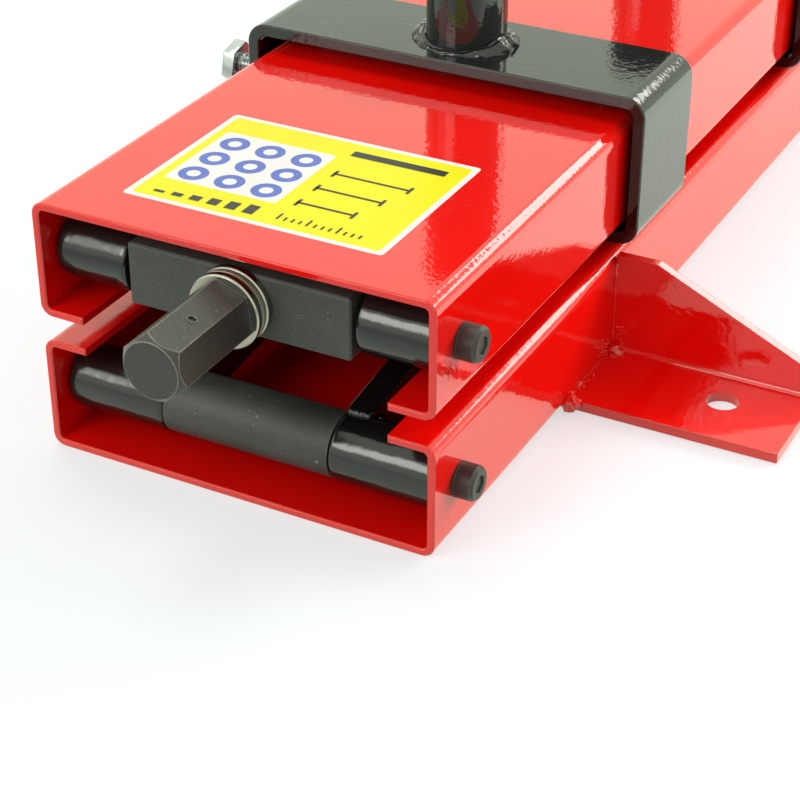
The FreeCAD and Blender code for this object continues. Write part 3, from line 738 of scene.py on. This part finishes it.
class JACK_OT_welds(bpy.types.Operator):
    """Lay the beads between feet and channel, arms and sleeves, and nuts and brackets"""

    bl_idname = "jack.welds"
    bl_label = "Weld beads"

    def execute(self, context):
        sizes = context.scene.jack_sizes
        for name, side in SIDES:
            self.foot_beads(name, side, sizes.foot_weld)
            for kind in ("inner", "outer"):
                self.sleeve_beads(kind, name, sizes.sleeve_weld)
        for carrier in CARRIERS:
            self.nut_bead(carrier)
        return {"FINISHED"}

    def foot_beads(self, name, side, radius):
        """Beads, lumps and spatter where a foot meets the channel's web."""
        low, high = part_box(f"{name}_foot")
        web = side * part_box("lower_rail")[1].x
        plate_top = low.z + FOOT_PLATE
        leg_front = high.y - FOOT_PLATE
        joint = web + side * 0.3 * MM

        def place(out, y, z):
            """Point at a distance out from the web."""
            return Vector((web + side * out * MM, y, z))

        runs = (
            ("low", (joint, low.y, plate_top + 0.1 * MM), (joint, leg_front, plate_top + 0.1 * MM),
             0.62, 3.0, 1.5),
            ("high", (joint, leg_front, plate_top), (joint, leg_front, high.z - 3.0 * MM),
             0.40, 5.0, 0.45),
        )
        for label, first, last, share, seed, lumps in runs:
            bm = weld_rope(between(first, last, 40), radius * share, seed + side, lumps=lumps)
            add_piece(f"{name}_foot_weld_{label}", bm, "base", "red_enamel", smooth_angle=BEAD_SMOOTH)
        ends = (
            ("front", place(1.8, low.y - 0.4 * MM, low.z + 3.0 * MM), 3.6 * MM),
            ("corner", place(2.4, leg_front - 1.8 * MM, plate_top + 0.6 * MM), 2.6 * MM),
        )
        for label, centre, size in ends:
            bm = bmesh.new()
            ball(bm, centre, size, subdivisions=4)
            for vert in bm.verts:
                away = vert.co - centre
                lump = 1.0 + 0.42 * noise.noise(vert.co * 420.0) + 0.2 * noise.noise(vert.co * 1100.0)
                vert.co = centre + Vector((away.x * 1.25, away.y * 1.1, away.z * 0.8)) * lump
                vert.co.z = max(vert.co.z, 0.05 * MM)
            add_piece(f"{name}_foot_weld_{label}", bm, "base", "red_enamel", smooth_angle=SPATTER_SMOOTH)
        patches = (
            (place(2.6, leg_front, plate_top + 6.0 * MM), (2.0, 0.0, 6.0), 16),
            (place(4.0, leg_front - 4.0 * MM, plate_top), (3.4, 4.5, 0.0), 20),
            (place(0.0, leg_front - 7.0 * MM, plate_top + 4.0 * MM), (0.0, 6.0, 3.4), 20),
            (place(2.0, low.y + 14.0 * MM, plate_top), (1.6, 12.0, 0.0), 14),
        )
        sizes = (0.25 * MM, 0.7 * MM)
        self.spatter(f"{name}_foot_spatter", "base", "red_enamel", patches, sizes, 11.0 + side)

    def spatter(self, name, body, slot, patches, sizes, seed):
        """Small beads on a surface: each patch is a middle, its spread in millimetres and a number."""
        bm = bmesh.new()
        count = 0
        for centre, spread, amount in patches:
            for _ in range(amount):
                count += 1
                turn = (
                    noise.noise(Vector((count * 1.71 + seed, 0.3, 0.9))),
                    noise.noise(Vector((0.7, count * 2.37 + seed, 0.1))),
                    noise.noise(Vector((0.2, 0.6, count * 1.93 + seed))),
                )
                share = 0.5 + 0.5 * noise.noise(Vector((count * 3.3, seed, 1.7)))
                size = sizes[0] + (sizes[1] - sizes[0]) * share
                ball(bm, centre + Vector([2.2 * t * s * MM for t, s in zip(turn, spread)]), size, 2)
        add_piece(name, bm, body, slot, smooth_angle=SPATTER_SMOOTH)

    def sleeve_beads(self, kind, name, radius):
        """Beads round a sleeve beside its arm, and across the arm's end above and below."""
        sleeve, body = f"{kind}_sleeve_{name}", f"{kind}_arms"
        sleeve_low, sleeve_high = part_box(sleeve)
        arm_low, arm_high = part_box(f"{kind}_arm_{name}")
        centre = middle(sleeve)
        reach = (sleeve_high.z - sleeve_low.z) / 2
        tilt = math.atan2(ARM_RISE, ARM_RUN) * (1.0 if kind == "inner" else -1.0)
        beads = []
        for label, x in (("in", arm_low.x), ("out", arm_high.x)):
            if min(abs(x - sleeve_low.x), abs(x - sleeve_high.x)) >= 0.5 * MM:
                points = arc(x, centre, reach, tilt - WELD_HALF_ARC, tilt + WELD_HALF_ARC, 18)
                beads.append((label, points, radius, x * 900.0))
        for label, way in (("top", 1), ("under", -1)):
            ahead, across = ARM_EDGE_AHEAD, way * ARM_EDGE_ACROSS
            y = centre.y + ahead * math.cos(tilt) - across * math.sin(tilt)
            z = centre.z + ahead * math.sin(tilt) + across * math.cos(tilt)
            points = between((arm_low.x + 0.4 * MM, y, z), (arm_high.x - 0.4 * MM, y, z), 12)
            beads.append((label, points, radius * 1.3, y * 900.0))
        for label, points, size, seed in beads:
            bm = weld_rope(points, size, seed)
            add_piece(f"{sleeve}_weld_{label}", bm, body, "black_enamel", smooth_angle=BEAD_SMOOTH)

    def nut_bead(self, carrier):
        """Heaps of weld on the flats of the nut, where it meets the bracket."""
        node, body = f"{carrier}_weld_nut", f"{carrier}_carrier"
        low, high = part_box(node)
        centre = middle(node)
        radius = (high.y - low.y) / 2
        bm = weld_rope(arc(high.x - 0.4 * MM, centre, radius, 0.0, FULL_TURN, 40), 1.9 * MM, 7.0)
        for vert in bm.verts:
            vert.co.x = min(vert.co.x, high.x)
            pull = noise.noise(vert.co * 130.0)
            vert.co.x += min(pull, 0.0) * 2.2 * MM
        add_piece(f"{carrier}_nut_weld", bm, body, "black_enamel", smooth_angle=BEAD_SMOOTH)
        patches = (
            (Vector((high.x, centre.y, centre.z + radius + 3.0 * MM)), (0.3, 3.6, 2.2), 18),
            (Vector((high.x, centre.y, centre.z - radius - 3.0 * MM)), (0.2, 2.0, 3.0), 8),
        )
        sizes = (0.4 * MM, 1.1 * MM)
        self.spatter(f"{carrier}_nut_spatter", body, "black_enamel", patches, sizes, 23.0)


class JACK_OT_sleeves(bpy.types.Operator):
    """Make the sleeves with rounded ends under their thick paint"""

    bl_idname = "jack.sleeves"
    bl_label = "Sleeves"

    def execute(self, context):
        for name, side in SIDES:
            for kind in ("inner", "outer"):
                node = f"{kind}_sleeve_{name}"
                add_piece(
                    f"{node}_painted", self.painted(node, side), f"{kind}_arms", "black_enamel",
                    "sleeve_enamel", replaces=[node], smooth_angle=50.0,
                )
        return {"FINISHED"}

    def painted(self, node, side):
        """Tube of a sleeve, whose outside swells as its paint does."""
        low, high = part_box(node)
        length, radius = high.x - low.x, (high.z - low.z) / 2
        start = Vector((low.x if side > 0 else high.x, middle(node).y, middle(node).z))
        outline = [(SLEEVE_BORE, 0.0), *self.corner(radius, 0.0, SLEEVE_NEAR_ROUND, -1)]
        outline += [
            *self.corner(radius, length, SLEEVE_FAR_ROUND, 1), (SLEEVE_BORE, length), (SLEEVE_BORE, 0.0)
        ]
        tube = spun(self.divided(outline), start, AXIS_X * side, 96)
        for vert in tube.verts:
            away = vert.co - start
            away -= AXIS_X * away.dot(AXIS_X)
            if away.length > SLEEVE_BORE + 2.0 * MM:
                swell = PAINT_SWELL * noise.noise(vert.co * 95.0)
                ripple = PAINT_RIPPLE * noise.noise(vert.co * 320.0)
                vert.co += away.normalized() * (swell + ripple - PAINT_SINK)
        return tube

    def divided(self, outline):
        """Outline with its long runs divided, so that the paint can swell there."""
        points = [outline[0]]
        for (r0, h0), (r1, h1) in zip(outline, outline[1:]):
            count = max(1, round(abs(h1 - h0) / PAINT_STEP))
            shares = [k / count for k in range(1, count + 1)]
            points += [(r0 + (r1 - r0) * share, h0 + (h1 - h0) * share) for share in shares]
        return points

    def corner(self, radius, height, size, way):
        """Quarter circle at a sleeve's end, from the end face to the outside or back."""
        turns = [math.pi / 2 * k / 6 for k in range(7)]
        points = [
            (radius - size + size * math.sin(turn), height - way * size * (1.0 - math.cos(turn)))
            for turn in turns
        ]
        return points if way < 0 else points[::-1]


class JACK_OT_threads(bpy.types.Operator):
    """Cut the threads of the lead screw and the lock bolts"""

    bl_idname = "jack.threads"
    bl_label = "Threads"

    def execute(self, context):
        sizes = context.scene.jack_sizes
        self.lead_screw(sizes.screw_pitch, sizes.screw_thread)
        for carrier in CARRIERS:
            self.lock_bolt(carrier, sizes.bolt_pitch, sizes.bolt_thread)
        return {"FINISHED"}

    def thread(self, start, axis, outer, root, pitch, turns, flat, steps):
        """Helical surface: one pitch of the profile spun and moved along the axis."""
        bm = bmesh.new()
        side = side_of(axis)
        flank = (1.0 - 2.0 * flat) / 2.0
        profile = (
            (root, 0.0), (root, flat * pitch), (outer, (flat + flank) * pitch),
            (outer, (2.0 * flat + flank) * pitch), (root, pitch),
        )
        points = [start + side * radius + axis * along for radius, along in profile]
        bmesh.ops.spin(
            bm, geom=line(bm, points), cent=start, axis=axis, dvec=axis * (pitch / steps),
            angle=FULL_TURN * turns, steps=steps * turns, use_merge=False, use_duplicate=False,
        )
        bmesh.ops.remove_doubles(bm, verts=bm.verts, dist=MERGE_DISTANCE)
        return bm

    def lead_screw(self, pitch, depth):
        """Threaded bar between the front block and the nut block, with its plain end and collar."""
        low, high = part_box("lead_screw")
        block_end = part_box("upper_front_block")[1].y
        head_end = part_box("hex_drive_head")[1].y
        base = Vector((0.0, 0.0, (low.z + high.z) / 2))
        outer = (high.z - low.z) / 2
        root = outer - depth
        core = root + 0.05 * MM
        start = Vector((0.0, block_end + 1.5 * MM, base.z))
        turns = int((high.y - start.y) / pitch) - 2
        bm = self.thread(start, AXIS_Y, outer, root, pitch, turns, flat=0.28, steps=28)
        outline = [
            (0.0, low.y), (SCREW_END, low.y), (SCREW_END, head_end), (SCREW_COLLAR, head_end),
            (SCREW_COLLAR, block_end + 0.3 * MM), (outer, block_end + 0.3 * MM),
            (outer, start.y + 0.6 * pitch), (core, start.y + pitch), (core, high.y - 0.8 * MM),
            (root - 0.8 * MM, high.y), (0.0, high.y),
        ]
        merge(bm, spun(outline, base, AXIS_Y, 40))
        bmesh.ops.recalc_face_normals(bm, faces=bm.faces)
        # Painted shade: the whole lead screw takes the darkened steel, so that its recessed end looks
        # shadowed.
        add_piece("lead_screw_thread", bm, "screw", "bright_steel", "oiled_steel", replaces=["lead_screw"])

    def lock_bolt(self, carrier, pitch, depth):
        """Hexagon bolt with its threaded shank, from its tip outwards."""
        node = f"{carrier}_lock_bolt"
        low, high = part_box(node)
        axis = -AXIS_X
        tip = Vector((high.x, middle(node).y, middle(node).z))
        shank = high.x - low.x - BOLT_HEAD
        root = BOLT_RADIUS - depth
        core = root + 0.04 * MM
        turns = int(shank / pitch) - 2
        bm = self.thread(tip + axis * pitch, axis, BOLT_RADIUS, root, pitch, turns, flat=0.14, steps=24)
        outline = [
            (0.0, 0.0), (root - 0.5 * MM, 0.0), (core, 1.0 * MM), (core, shank - 0.2 * MM),
            (BOLT_RADIUS, shank), (0.0, shank),
        ]
        merge(bm, spun(outline, tip, axis, 32))
        merge(bm, self.head(tip + axis * shank, axis))
        add_piece(f"{node}_threaded", bm, f"{carrier}_bolt", "zinc_plate", replaces=[node])

    def head(self, place, axis):
        """Hexagon head of a lock bolt, with softened edges and a crowned top."""
        bm = bmesh.new()
        corner = BOLT_FLATS / math.sqrt(3.0)
        bmesh.ops.create_cone(
            bm, cap_ends=True, cap_tris=False, segments=6, radius1=corner, radius2=corner, depth=BOLT_HEAD
        )
        upright = [e for e in bm.edges if abs(e.verts[0].co.z - e.verts[1].co.z) > BOLT_HEAD / 2]
        softened(bm, upright, 0.35 * MM, 2)
        rims = [e for e in bm.edges if abs(e.verts[0].co.z - e.verts[1].co.z) < 1e-7]
        softened(bm, rims, 0.4 * MM, 3)
        for vert in bm.verts:
            reach = math.hypot(vert.co.x, vert.co.y)
            if vert.co.z > 0.0:
                vert.co.z -= max(0.0, reach - BOLT_FLATS * 0.475) * math.tan(math.radians(30.0))
        spin = Matrix.Rotation(BOLT_TURN, 4, "Z")
        move = Matrix.Translation(place + axis * (BOLT_HEAD / 2)) @ standing(axis) @ spin
        bmesh.ops.transform(bm, matrix=move, verts=bm.verts)
        bmesh.ops.recalc_face_normals(bm, faces=bm.faces)
        return bm


class JACK_OT_screws(bpy.types.Operator):
    """Make the socket head screws, whose heads are faintly knurled"""

    bl_idname = "jack.screws"
    bl_label = "Socket head screws"

    def execute(self, context):
        for level, body in (("upper", "top"), ("lower", "base")):
            node = f"{level}_front_screws"
            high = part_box(node)[1]
            centre = middle(node)
            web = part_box(f"{level}_rail")[1].x
            bm = bmesh.new()
            for _, side in SIDES:
                place = Vector((side * web, centre.y, centre.z))
                merge(bm, self.screw(place, AXIS_X * side, high.x - web))
            bmesh.ops.recalc_face_normals(bm, faces=bm.faces)
            add_piece(f"{node}_knurled", bm, body, "black_oxide", replaces=[node], smooth_angle=28.0)
        return {"FINISHED"}

    def screw(self, place, axis, height):
        """One screw: plain shank, knurled head, bevelled rim and hexagon socket."""
        bm = bmesh.new()
        rim = HEAD_RADIUS - 0.25 * MM
        ring = bmesh.ops.create_circle(
            bm, cap_ends=True, radius=HEAD_RADIUS, segments=2 * HEAD_TEETH
        )["verts"]
        for vert in ring[1::2]:
            vert.co *= (HEAD_RADIUS - HEAD_KNURL) / HEAD_RADIUS
        top = list(bm.faces)
        for rise, share in (
            (0.12, 1.0), (0.72, 1.0), (0.05, rim / HEAD_RADIUS), (0.11, (HEAD_RADIUS - 1.0 * MM) / rim)
        ):
            top = self.raised(bm, top, height * rise, share)
        bmesh.ops.delete(bm, geom=top, context="FACES_ONLY")
        outer_edges = [e for e in bm.edges if e.is_boundary]
        turn = Matrix.Rotation(SOCKET_TURN, 4, "Z")
        mouth = bmesh.ops.create_circle(
            bm, cap_ends=False, radius=SOCKET_FLATS / math.sqrt(3.0) + 0.3 * MM, segments=12,
            matrix=Matrix.Translation((0.0, 0.0, height)) @ turn,
        )["verts"]
        for vert in mouth:
            self.to_hexagon(vert, SOCKET_FLATS / 2 + 0.26 * MM)
        inner_edges = [e for e in bm.edges if not e.link_faces]
        bmesh.ops.bridge_loops(bm, edges=outer_edges + inner_edges)
        lip = self.lowered_rim(bm, height * 0.9)
        widen(lip, 0.92)
        for vert in lip:
            vert.co.z -= 0.35 * MM
        for vert in self.lowered_rim(bm, height * 0.8):
            vert.co.z = height - SOCKET_DEPTH
        bmesh.ops.contextual_create(bm, geom=[e for e in bm.edges if e.is_boundary])
        bmesh.ops.create_cone(
            bm, cap_ends=True, cap_tris=False, segments=24, radius1=3.9 * MM, radius2=3.9 * MM,
            depth=21.0 * MM, matrix=Matrix.Translation((0.0, 0.0, -10.4 * MM)),
        )
        bmesh.ops.transform(bm, matrix=Matrix.Translation(place) @ standing(axis), verts=bm.verts)
        return bm

    def to_hexagon(self, vert, half_flats):
        """Move a vertex in or out to a hexagon round the local Z axis."""
        angle = math.atan2(vert.co.y, vert.co.x) - SOCKET_TURN
        sector = (angle % (math.pi / 3.0)) - math.pi / 6.0
        widen([vert], half_flats / math.cos(sector) / math.hypot(vert.co.x, vert.co.y))

    def lowered_rim(self, bm, above):
        """Extrude the open edges above a height; returns the new vertices."""
        edges = [e for e in bm.edges if e.is_boundary and e.verts[0].co.z > above]
        return new_verts(bmesh.ops.extrude_edge_only(bm, edges=edges)["geom"])

    def raised(self, bm, faces, height, share):
        """Extrude faces upwards, scale the new rim and return the new top faces."""
        made = bmesh.ops.extrude_face_region(bm, geom=faces)["geom"]
        old = [f for f in faces if f.normal.z > 0.0 and f.is_valid]
        bmesh.ops.delete(bm, geom=old, context="FACES_ONLY")
        verts = new_verts(made)
        widen(verts, share)
        for vert in verts:
            vert.co.z += height
        return [f for f in made if isinstance(f, bmesh.types.BMFace)]


class JACK_OT_head(bpy.types.Operator):
    """Add the burrs round the drive head's pin hole"""

    bl_idname = "jack.head"
    bl_label = "Drive head burrs"

    def execute(self, context):
        centre = middle("hex_pin")
        axis = Vector((math.cos(PIN_LEAN), 0.0, math.sin(PIN_LEAN)))
        along = axis.cross(AXIS_Y)
        count = 28
        for label, way in (("up", 1), ("down", -1)):
            points = []
            for k in range(count + 1):
                turn = FULL_TURN * k / count
                burr = noise.noise(Vector((math.cos(turn), math.sin(turn), 3.0 * way)))
                reach = 1.75 * MM * (1.0 + 0.10 * burr)
                points.append(
                    centre + axis * (way * (HEX_FACE + 0.02 * MM))
                    + AXIS_Y * (reach * math.cos(turn)) + along * (reach * math.sin(turn))
                )
            bm = weld_rope(points, 0.28 * MM, 31.0 + way, steps=10, lumps=1.3)
            name = f"hex_drive_head_burr_{label}"
            add_piece(name, bm, "screw", "black_oxide", "worn_oxide", smooth_angle=BEAD_SMOOTH)
        return {"FINISHED"}


class JACK_OT_decal(bpy.types.Operator):
    """Stick the decal on the upper channel: a yellow panel with a white rim and plain motifs"""

    bl_idname = "jack.decal"
    bl_label = "Decal"

    def execute(self, context):
        sizes = context.scene.jack_sizes
        rail_low, rail_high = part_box("upper_rail")
        self.top = rail_high.z
        self.front = rail_low.y + DECAL_FRONT * MM
        self.sheets = 0
        width, length = sizes.decal_width / MM, sizes.decal_length / MM
        inner = (width - 2 * DECAL_MARGIN, length - 2 * DECAL_MARGIN)
        self.panel("decal_rim", "decal_white", (0.0, 0.0, width, length))
        self.panel("decal_ground", "decal_yellow", (DECAL_MARGIN, DECAL_MARGIN, *inner))
        self.panel("decal_window", "decal_white", (6.0, 17.0, 46.0, 44.0))
        bars = [(56.0, 63.5, 38.0, 4.2)]
        for k in range(3):
            y, end = 21.0 + 13.0 * k, 80.0 + 4.0 * k
            bars += [(58.0, y, end - 58.0, 1.2), (58.0, y - 2.0, 1.2, 5.2), (end, y - 2.0, 1.2, 5.2)]
        self.plates("decal_bars", bars)
        self.rings("decal_rings", [(14.0 + 15.0 * (k % 3), 24.5 + 14.0 * (k // 3)) for k in range(9)])
        steps = [(9.0 + 7.2 * k, 6.0, 4.2, 1.6 + 1.0 * k) for k in range(6)]
        steps += [(58.0 + 2.9 * k, 7.0, 0.8, 2.6 if k % 4 else 4.6) for k in range(12)]
        self.plates("decal_steps", steps)
        return {"FINISHED"}

    def plate(self, bm, x, y, width, length):
        """Flat rectangle of the print, in millimetres from the decal's front left corner."""
        bm.faces.new([
            bm.verts.new(((DECAL_LEFT + x + dx) * MM, self.front + (y + dy) * MM, 0.0))
            for dx, dy in ((0.0, 0.0), (width, 0.0), (width, length), (0.0, length))
        ])

    def plates(self, name, places):
        """Black print of several rectangles."""
        bm = bmesh.new()
        for place in places:
            self.plate(bm, *place)
        self.sheet_piece(name, bm, "decal_black")

    def rings(self, name, places):
        """Blue print of several rings, each the rim that is left of a disc."""
        bm = bmesh.new()
        for x, y in places:
            centre = Matrix.Translation(((DECAL_LEFT + x) * MM, self.front + y * MM, 0.0))
            made = bmesh.ops.create_circle(
                bm, cap_ends=True, radius=5.6 * MM, segments=40, matrix=centre
            )["verts"]
            face = made[0].link_faces[0]
            bmesh.ops.inset_individual(bm, faces=[face], thickness=3.0 * MM)
            bmesh.ops.delete(bm, geom=[face], context="FACES_ONLY")
        self.sheet_piece(name, bm, "decal_blue")

    def panel(self, name, material, place):
        """Print of one rectangle with rounded corners."""
        bm = bmesh.new()
        self.plate(bm, *place)
        softened(bm, list(bm.verts), DECAL_CORNER, 5, affect="VERTICES")
        self.sheet_piece(name, bm, material)

    def sheet_piece(self, name, bm, material):
        """Give a flat print its thickness, one film above the last."""
        bmesh.ops.recalc_face_normals(bm, faces=bm.faces)
        for face in bm.faces:
            if face.normal.z < 0.0:
                face.normal_flip()
        made = bmesh.ops.extrude_face_region(bm, geom=list(bm.faces))["geom"]
        for vert in new_verts(made):
            vert.co.z += DECAL_FILM
        base = self.top + DECAL_FILM * self.sheets * 0.8 - 0.01 * MM
        bmesh.ops.translate(bm, verts=bm.verts, vec=Vector((0.0, 0.0, base)))
        bmesh.ops.recalc_face_normals(bm, faces=bm.faces)
        self.sheets = min(self.sheets + 1, 3)
        add_piece(name, bm, "top", "red_enamel", material)


class JACK_OT_stage(bpy.types.Operator):
    """Set the floor, the lamps, the world and the camera"""

    bl_idname = "jack.stage"
    bl_label = "Stage"

    def execute(self, context):
        scene = context.scene
        scene.view_settings.view_transform = "Standard"
        self.floor()
        self.world(scene)
        self.lamp("Front softbox", (-0.56, -1.6, 0.92), (0.0, -0.1, 0.06), (0.8, 0.6), 11.0)
        self.lamp("Left softbox", (-1.42, -1.4, 0.95), (0.0, -0.1, 0.06), (0.9, 0.8), 5.0)
        self.lamp("Side fill", (1.9, 0.7, 0.35), (0.1, 0.0, 0.05), (0.9, 0.5), 11.0, mirrored=False)
        self.lamp("Back fill", (1.5, 1.6, 0.9), (0.1, 0.0, 0.08), (1.4, 0.9), 28.0, mirrored=False)
        self.lamp("Rim strip", (0.60, 1.6, 1.10), (0.05, 0.0, 0.08), (1.5, 0.30), 11.0, roll=RIM_ROLL)
        self.lamp("Top softbox", (-0.6, 0.3, 2.2), (0.0, 0.0, 0.0), (1.0, 1.0), 15.0)
        self.camera(scene)
        return {"FINISHED"}

    def rays(self, tree):
        """Masks of the camera's rays and of mirrored ones, and the studio's colour for both."""
        path = new_node(tree, "ShaderNodeLightPath")
        mirror = math_node(tree, "MAXIMUM", path["Is Glossy Ray"], path["Is Transmission Ray"])
        return path["Is Camera Ray"], mirror, mix_colour(tree, mirror, WHITE, MIRROR_TINT)

    def floor(self):
        """Pale floor: it keeps the shadow, shows nearly white, is mirrored darker in front and glows
        brighter to reflections beside the jack's right side, a painted glow.
        """
        bm = bmesh.new()
        bmesh.ops.create_grid(bm, x_segments=1, y_segments=1, size=6.0)
        mesh = mesh_of(bm, "floor")
        floor = bpy.data.objects.new("floor", mesh)
        bpy.context.scene.collection.objects.link(floor)
        floor.location.z = -0.0004
        material, tree, shader = blank_material("Pale floor")
        paper = {"Base Color": (0.36, 0.41, 0.42, 1.0), "Roughness": 0.7, "Specular IOR Level": 0.2}
        feed(tree, shader, paper)
        camera, mirror, tint = self.rays(tree)
        place = new_node(tree, "ShaderNodeSeparateXYZ", {0: object_coordinates(tree)})
        x, y = place["X"], place["Y"]
        in_front = ramp(tree, y, low=-0.25, high=-0.55)
        # Painted glow: beside the jack's right side the floor shows brighter to reflections only, which
        # brightens what the paint mirrors there.
        mirror_glow_patch = times(tree, ramp(tree, x, low=0.08, high=0.30), ramp(tree, y, low=-0.30, high=-0.05))
        dimmed = minus(tree, FLOOR_LEVEL, times(tree, in_front, 0.42))
        mirrored = times(tree, mirror, plus(tree, dimmed, times(tree, mirror_glow_patch, 0.55)))
        level = plus(tree, mirrored, times(tree, camera, FLOOR_LEVEL))
        glow = new_node(tree, "ShaderNodeEmission", {"Color": tint, "Strength": level})
        both = new_node(tree, "ShaderNodeAddShader", {0: shader.outputs[0], 1: glow[0]})
        feed(tree, tree.nodes["Material Output"], {"Surface": both[0]})
        mesh.materials.append(material)

    def world(self, scene):
        """White surroundings that light the jack at a lower level than they show."""
        world = bpy.data.worlds.new("Studio")
        scene.world = world
        world.use_nodes = True
        tree = world.node_tree
        camera, mirror, tint = self.rays(tree)
        seen = math_node(tree, "MAXIMUM", camera, mirror, clamp=True)
        level = plus(tree, times(tree, seen, 1.0 - WORLD_LEVEL), WORLD_LEVEL)
        feed(tree, tree.nodes["Background"], {"Strength": level, "Color": tint})

    def lamp(self, name, place, target, size, power, mirrored=True, roll=0.0):
        """Rectangular lamp; one that isn't mirrored gives light but no glare."""
        light = bpy.data.lights.new(name, "AREA")
        light.shape = "RECTANGLE"
        light.size, light.size_y = size
        light.energy = power
        light.color = LAMP_COLOUR
        lamp = bpy.data.objects.new(name, light)
        lamp.location = place
        aim = Vector(target) - Vector(place)
        spin = Matrix.Rotation(roll, 3, "Z")
        lamp.rotation_euler = (aim.to_track_quat("-Z", "Y").to_matrix() @ spin).to_euler()
        lamp.visible_glossy = mirrored
        bpy.context.scene.collection.objects.link(lamp)

    def camera(self, scene):
        """Camera at the photograph's place and angle."""
        lens = bpy.data.cameras.new("Camera")
        lens.sensor_width = SENSOR_WIDTH
        lens.lens = SENSOR_WIDTH * FOCAL_PIXELS / PHOTO_WIDTH
        camera = bpy.data.objects.new("Camera", lens)
        forward, up = Vector(CAMERA_FORWARD), Vector(CAMERA_UP)
        turn = Matrix((forward.cross(up), up, -forward)).transposed()
        camera.matrix_world = Matrix.Translation(CAMERA_PLACE) @ turn.to_4x4()
        scene.collection.objects.link(camera)
        scene.camera = camera


class JACK_PT_panel(bpy.types.Panel):
    """Steps that dress the jack, in order"""

    bl_idname = "JACK_PT_panel"
    bl_label = "Motorcycle jack"
    bl_space_type = "VIEW_3D"
    bl_region_type = "UI"
    bl_category = "Jack"

    def draw(self, context):
        layout = self.layout
        for operator in OPERATORS:
            layout.operator(operator.bl_idname)
        for group in (context.scene.jack_colours, context.scene.jack_sizes):
            box = layout.box()
            for label in group.__annotations__:
                box.prop(group, label)


OPERATORS = (
    JACK_OT_finishes, JACK_OT_posts, JACK_OT_sleeves, JACK_OT_welds, JACK_OT_threads, JACK_OT_screws,
    JACK_OT_head, JACK_OT_decal, JACK_OT_stage,
)
CLASSES = (JackColours, JackSizes, *OPERATORS, JACK_PT_panel)


def register():
    """Register the classes and hang the settings on the scene."""
    for cls in CLASSES:
        bpy.utils.register_class(cls)
    bpy.types.Scene.jack_colours = bpy.props.PointerProperty(type=JackColours)
    bpy.types.Scene.jack_sizes = bpy.props.PointerProperty(type=JackSizes)


def unregister():
    """Undo what register did."""
    del bpy.types.Scene.jack_sizes
    del bpy.types.Scene.jack_colours
    for cls in reversed(CLASSES):
        bpy.utils.unregister_class(cls)


def main():
    register()
    bpy.ops.jack.finishes()
    bpy.ops.jack.posts()
    bpy.ops.jack.sleeves()
    bpy.ops.jack.welds()
    bpy.ops.jack.threads()
    bpy.ops.jack.screws()
    bpy.ops.jack.head()
    bpy.ops.jack.decal()
    bpy.ops.jack.stage()


if __name__ == "__main__":
    main()
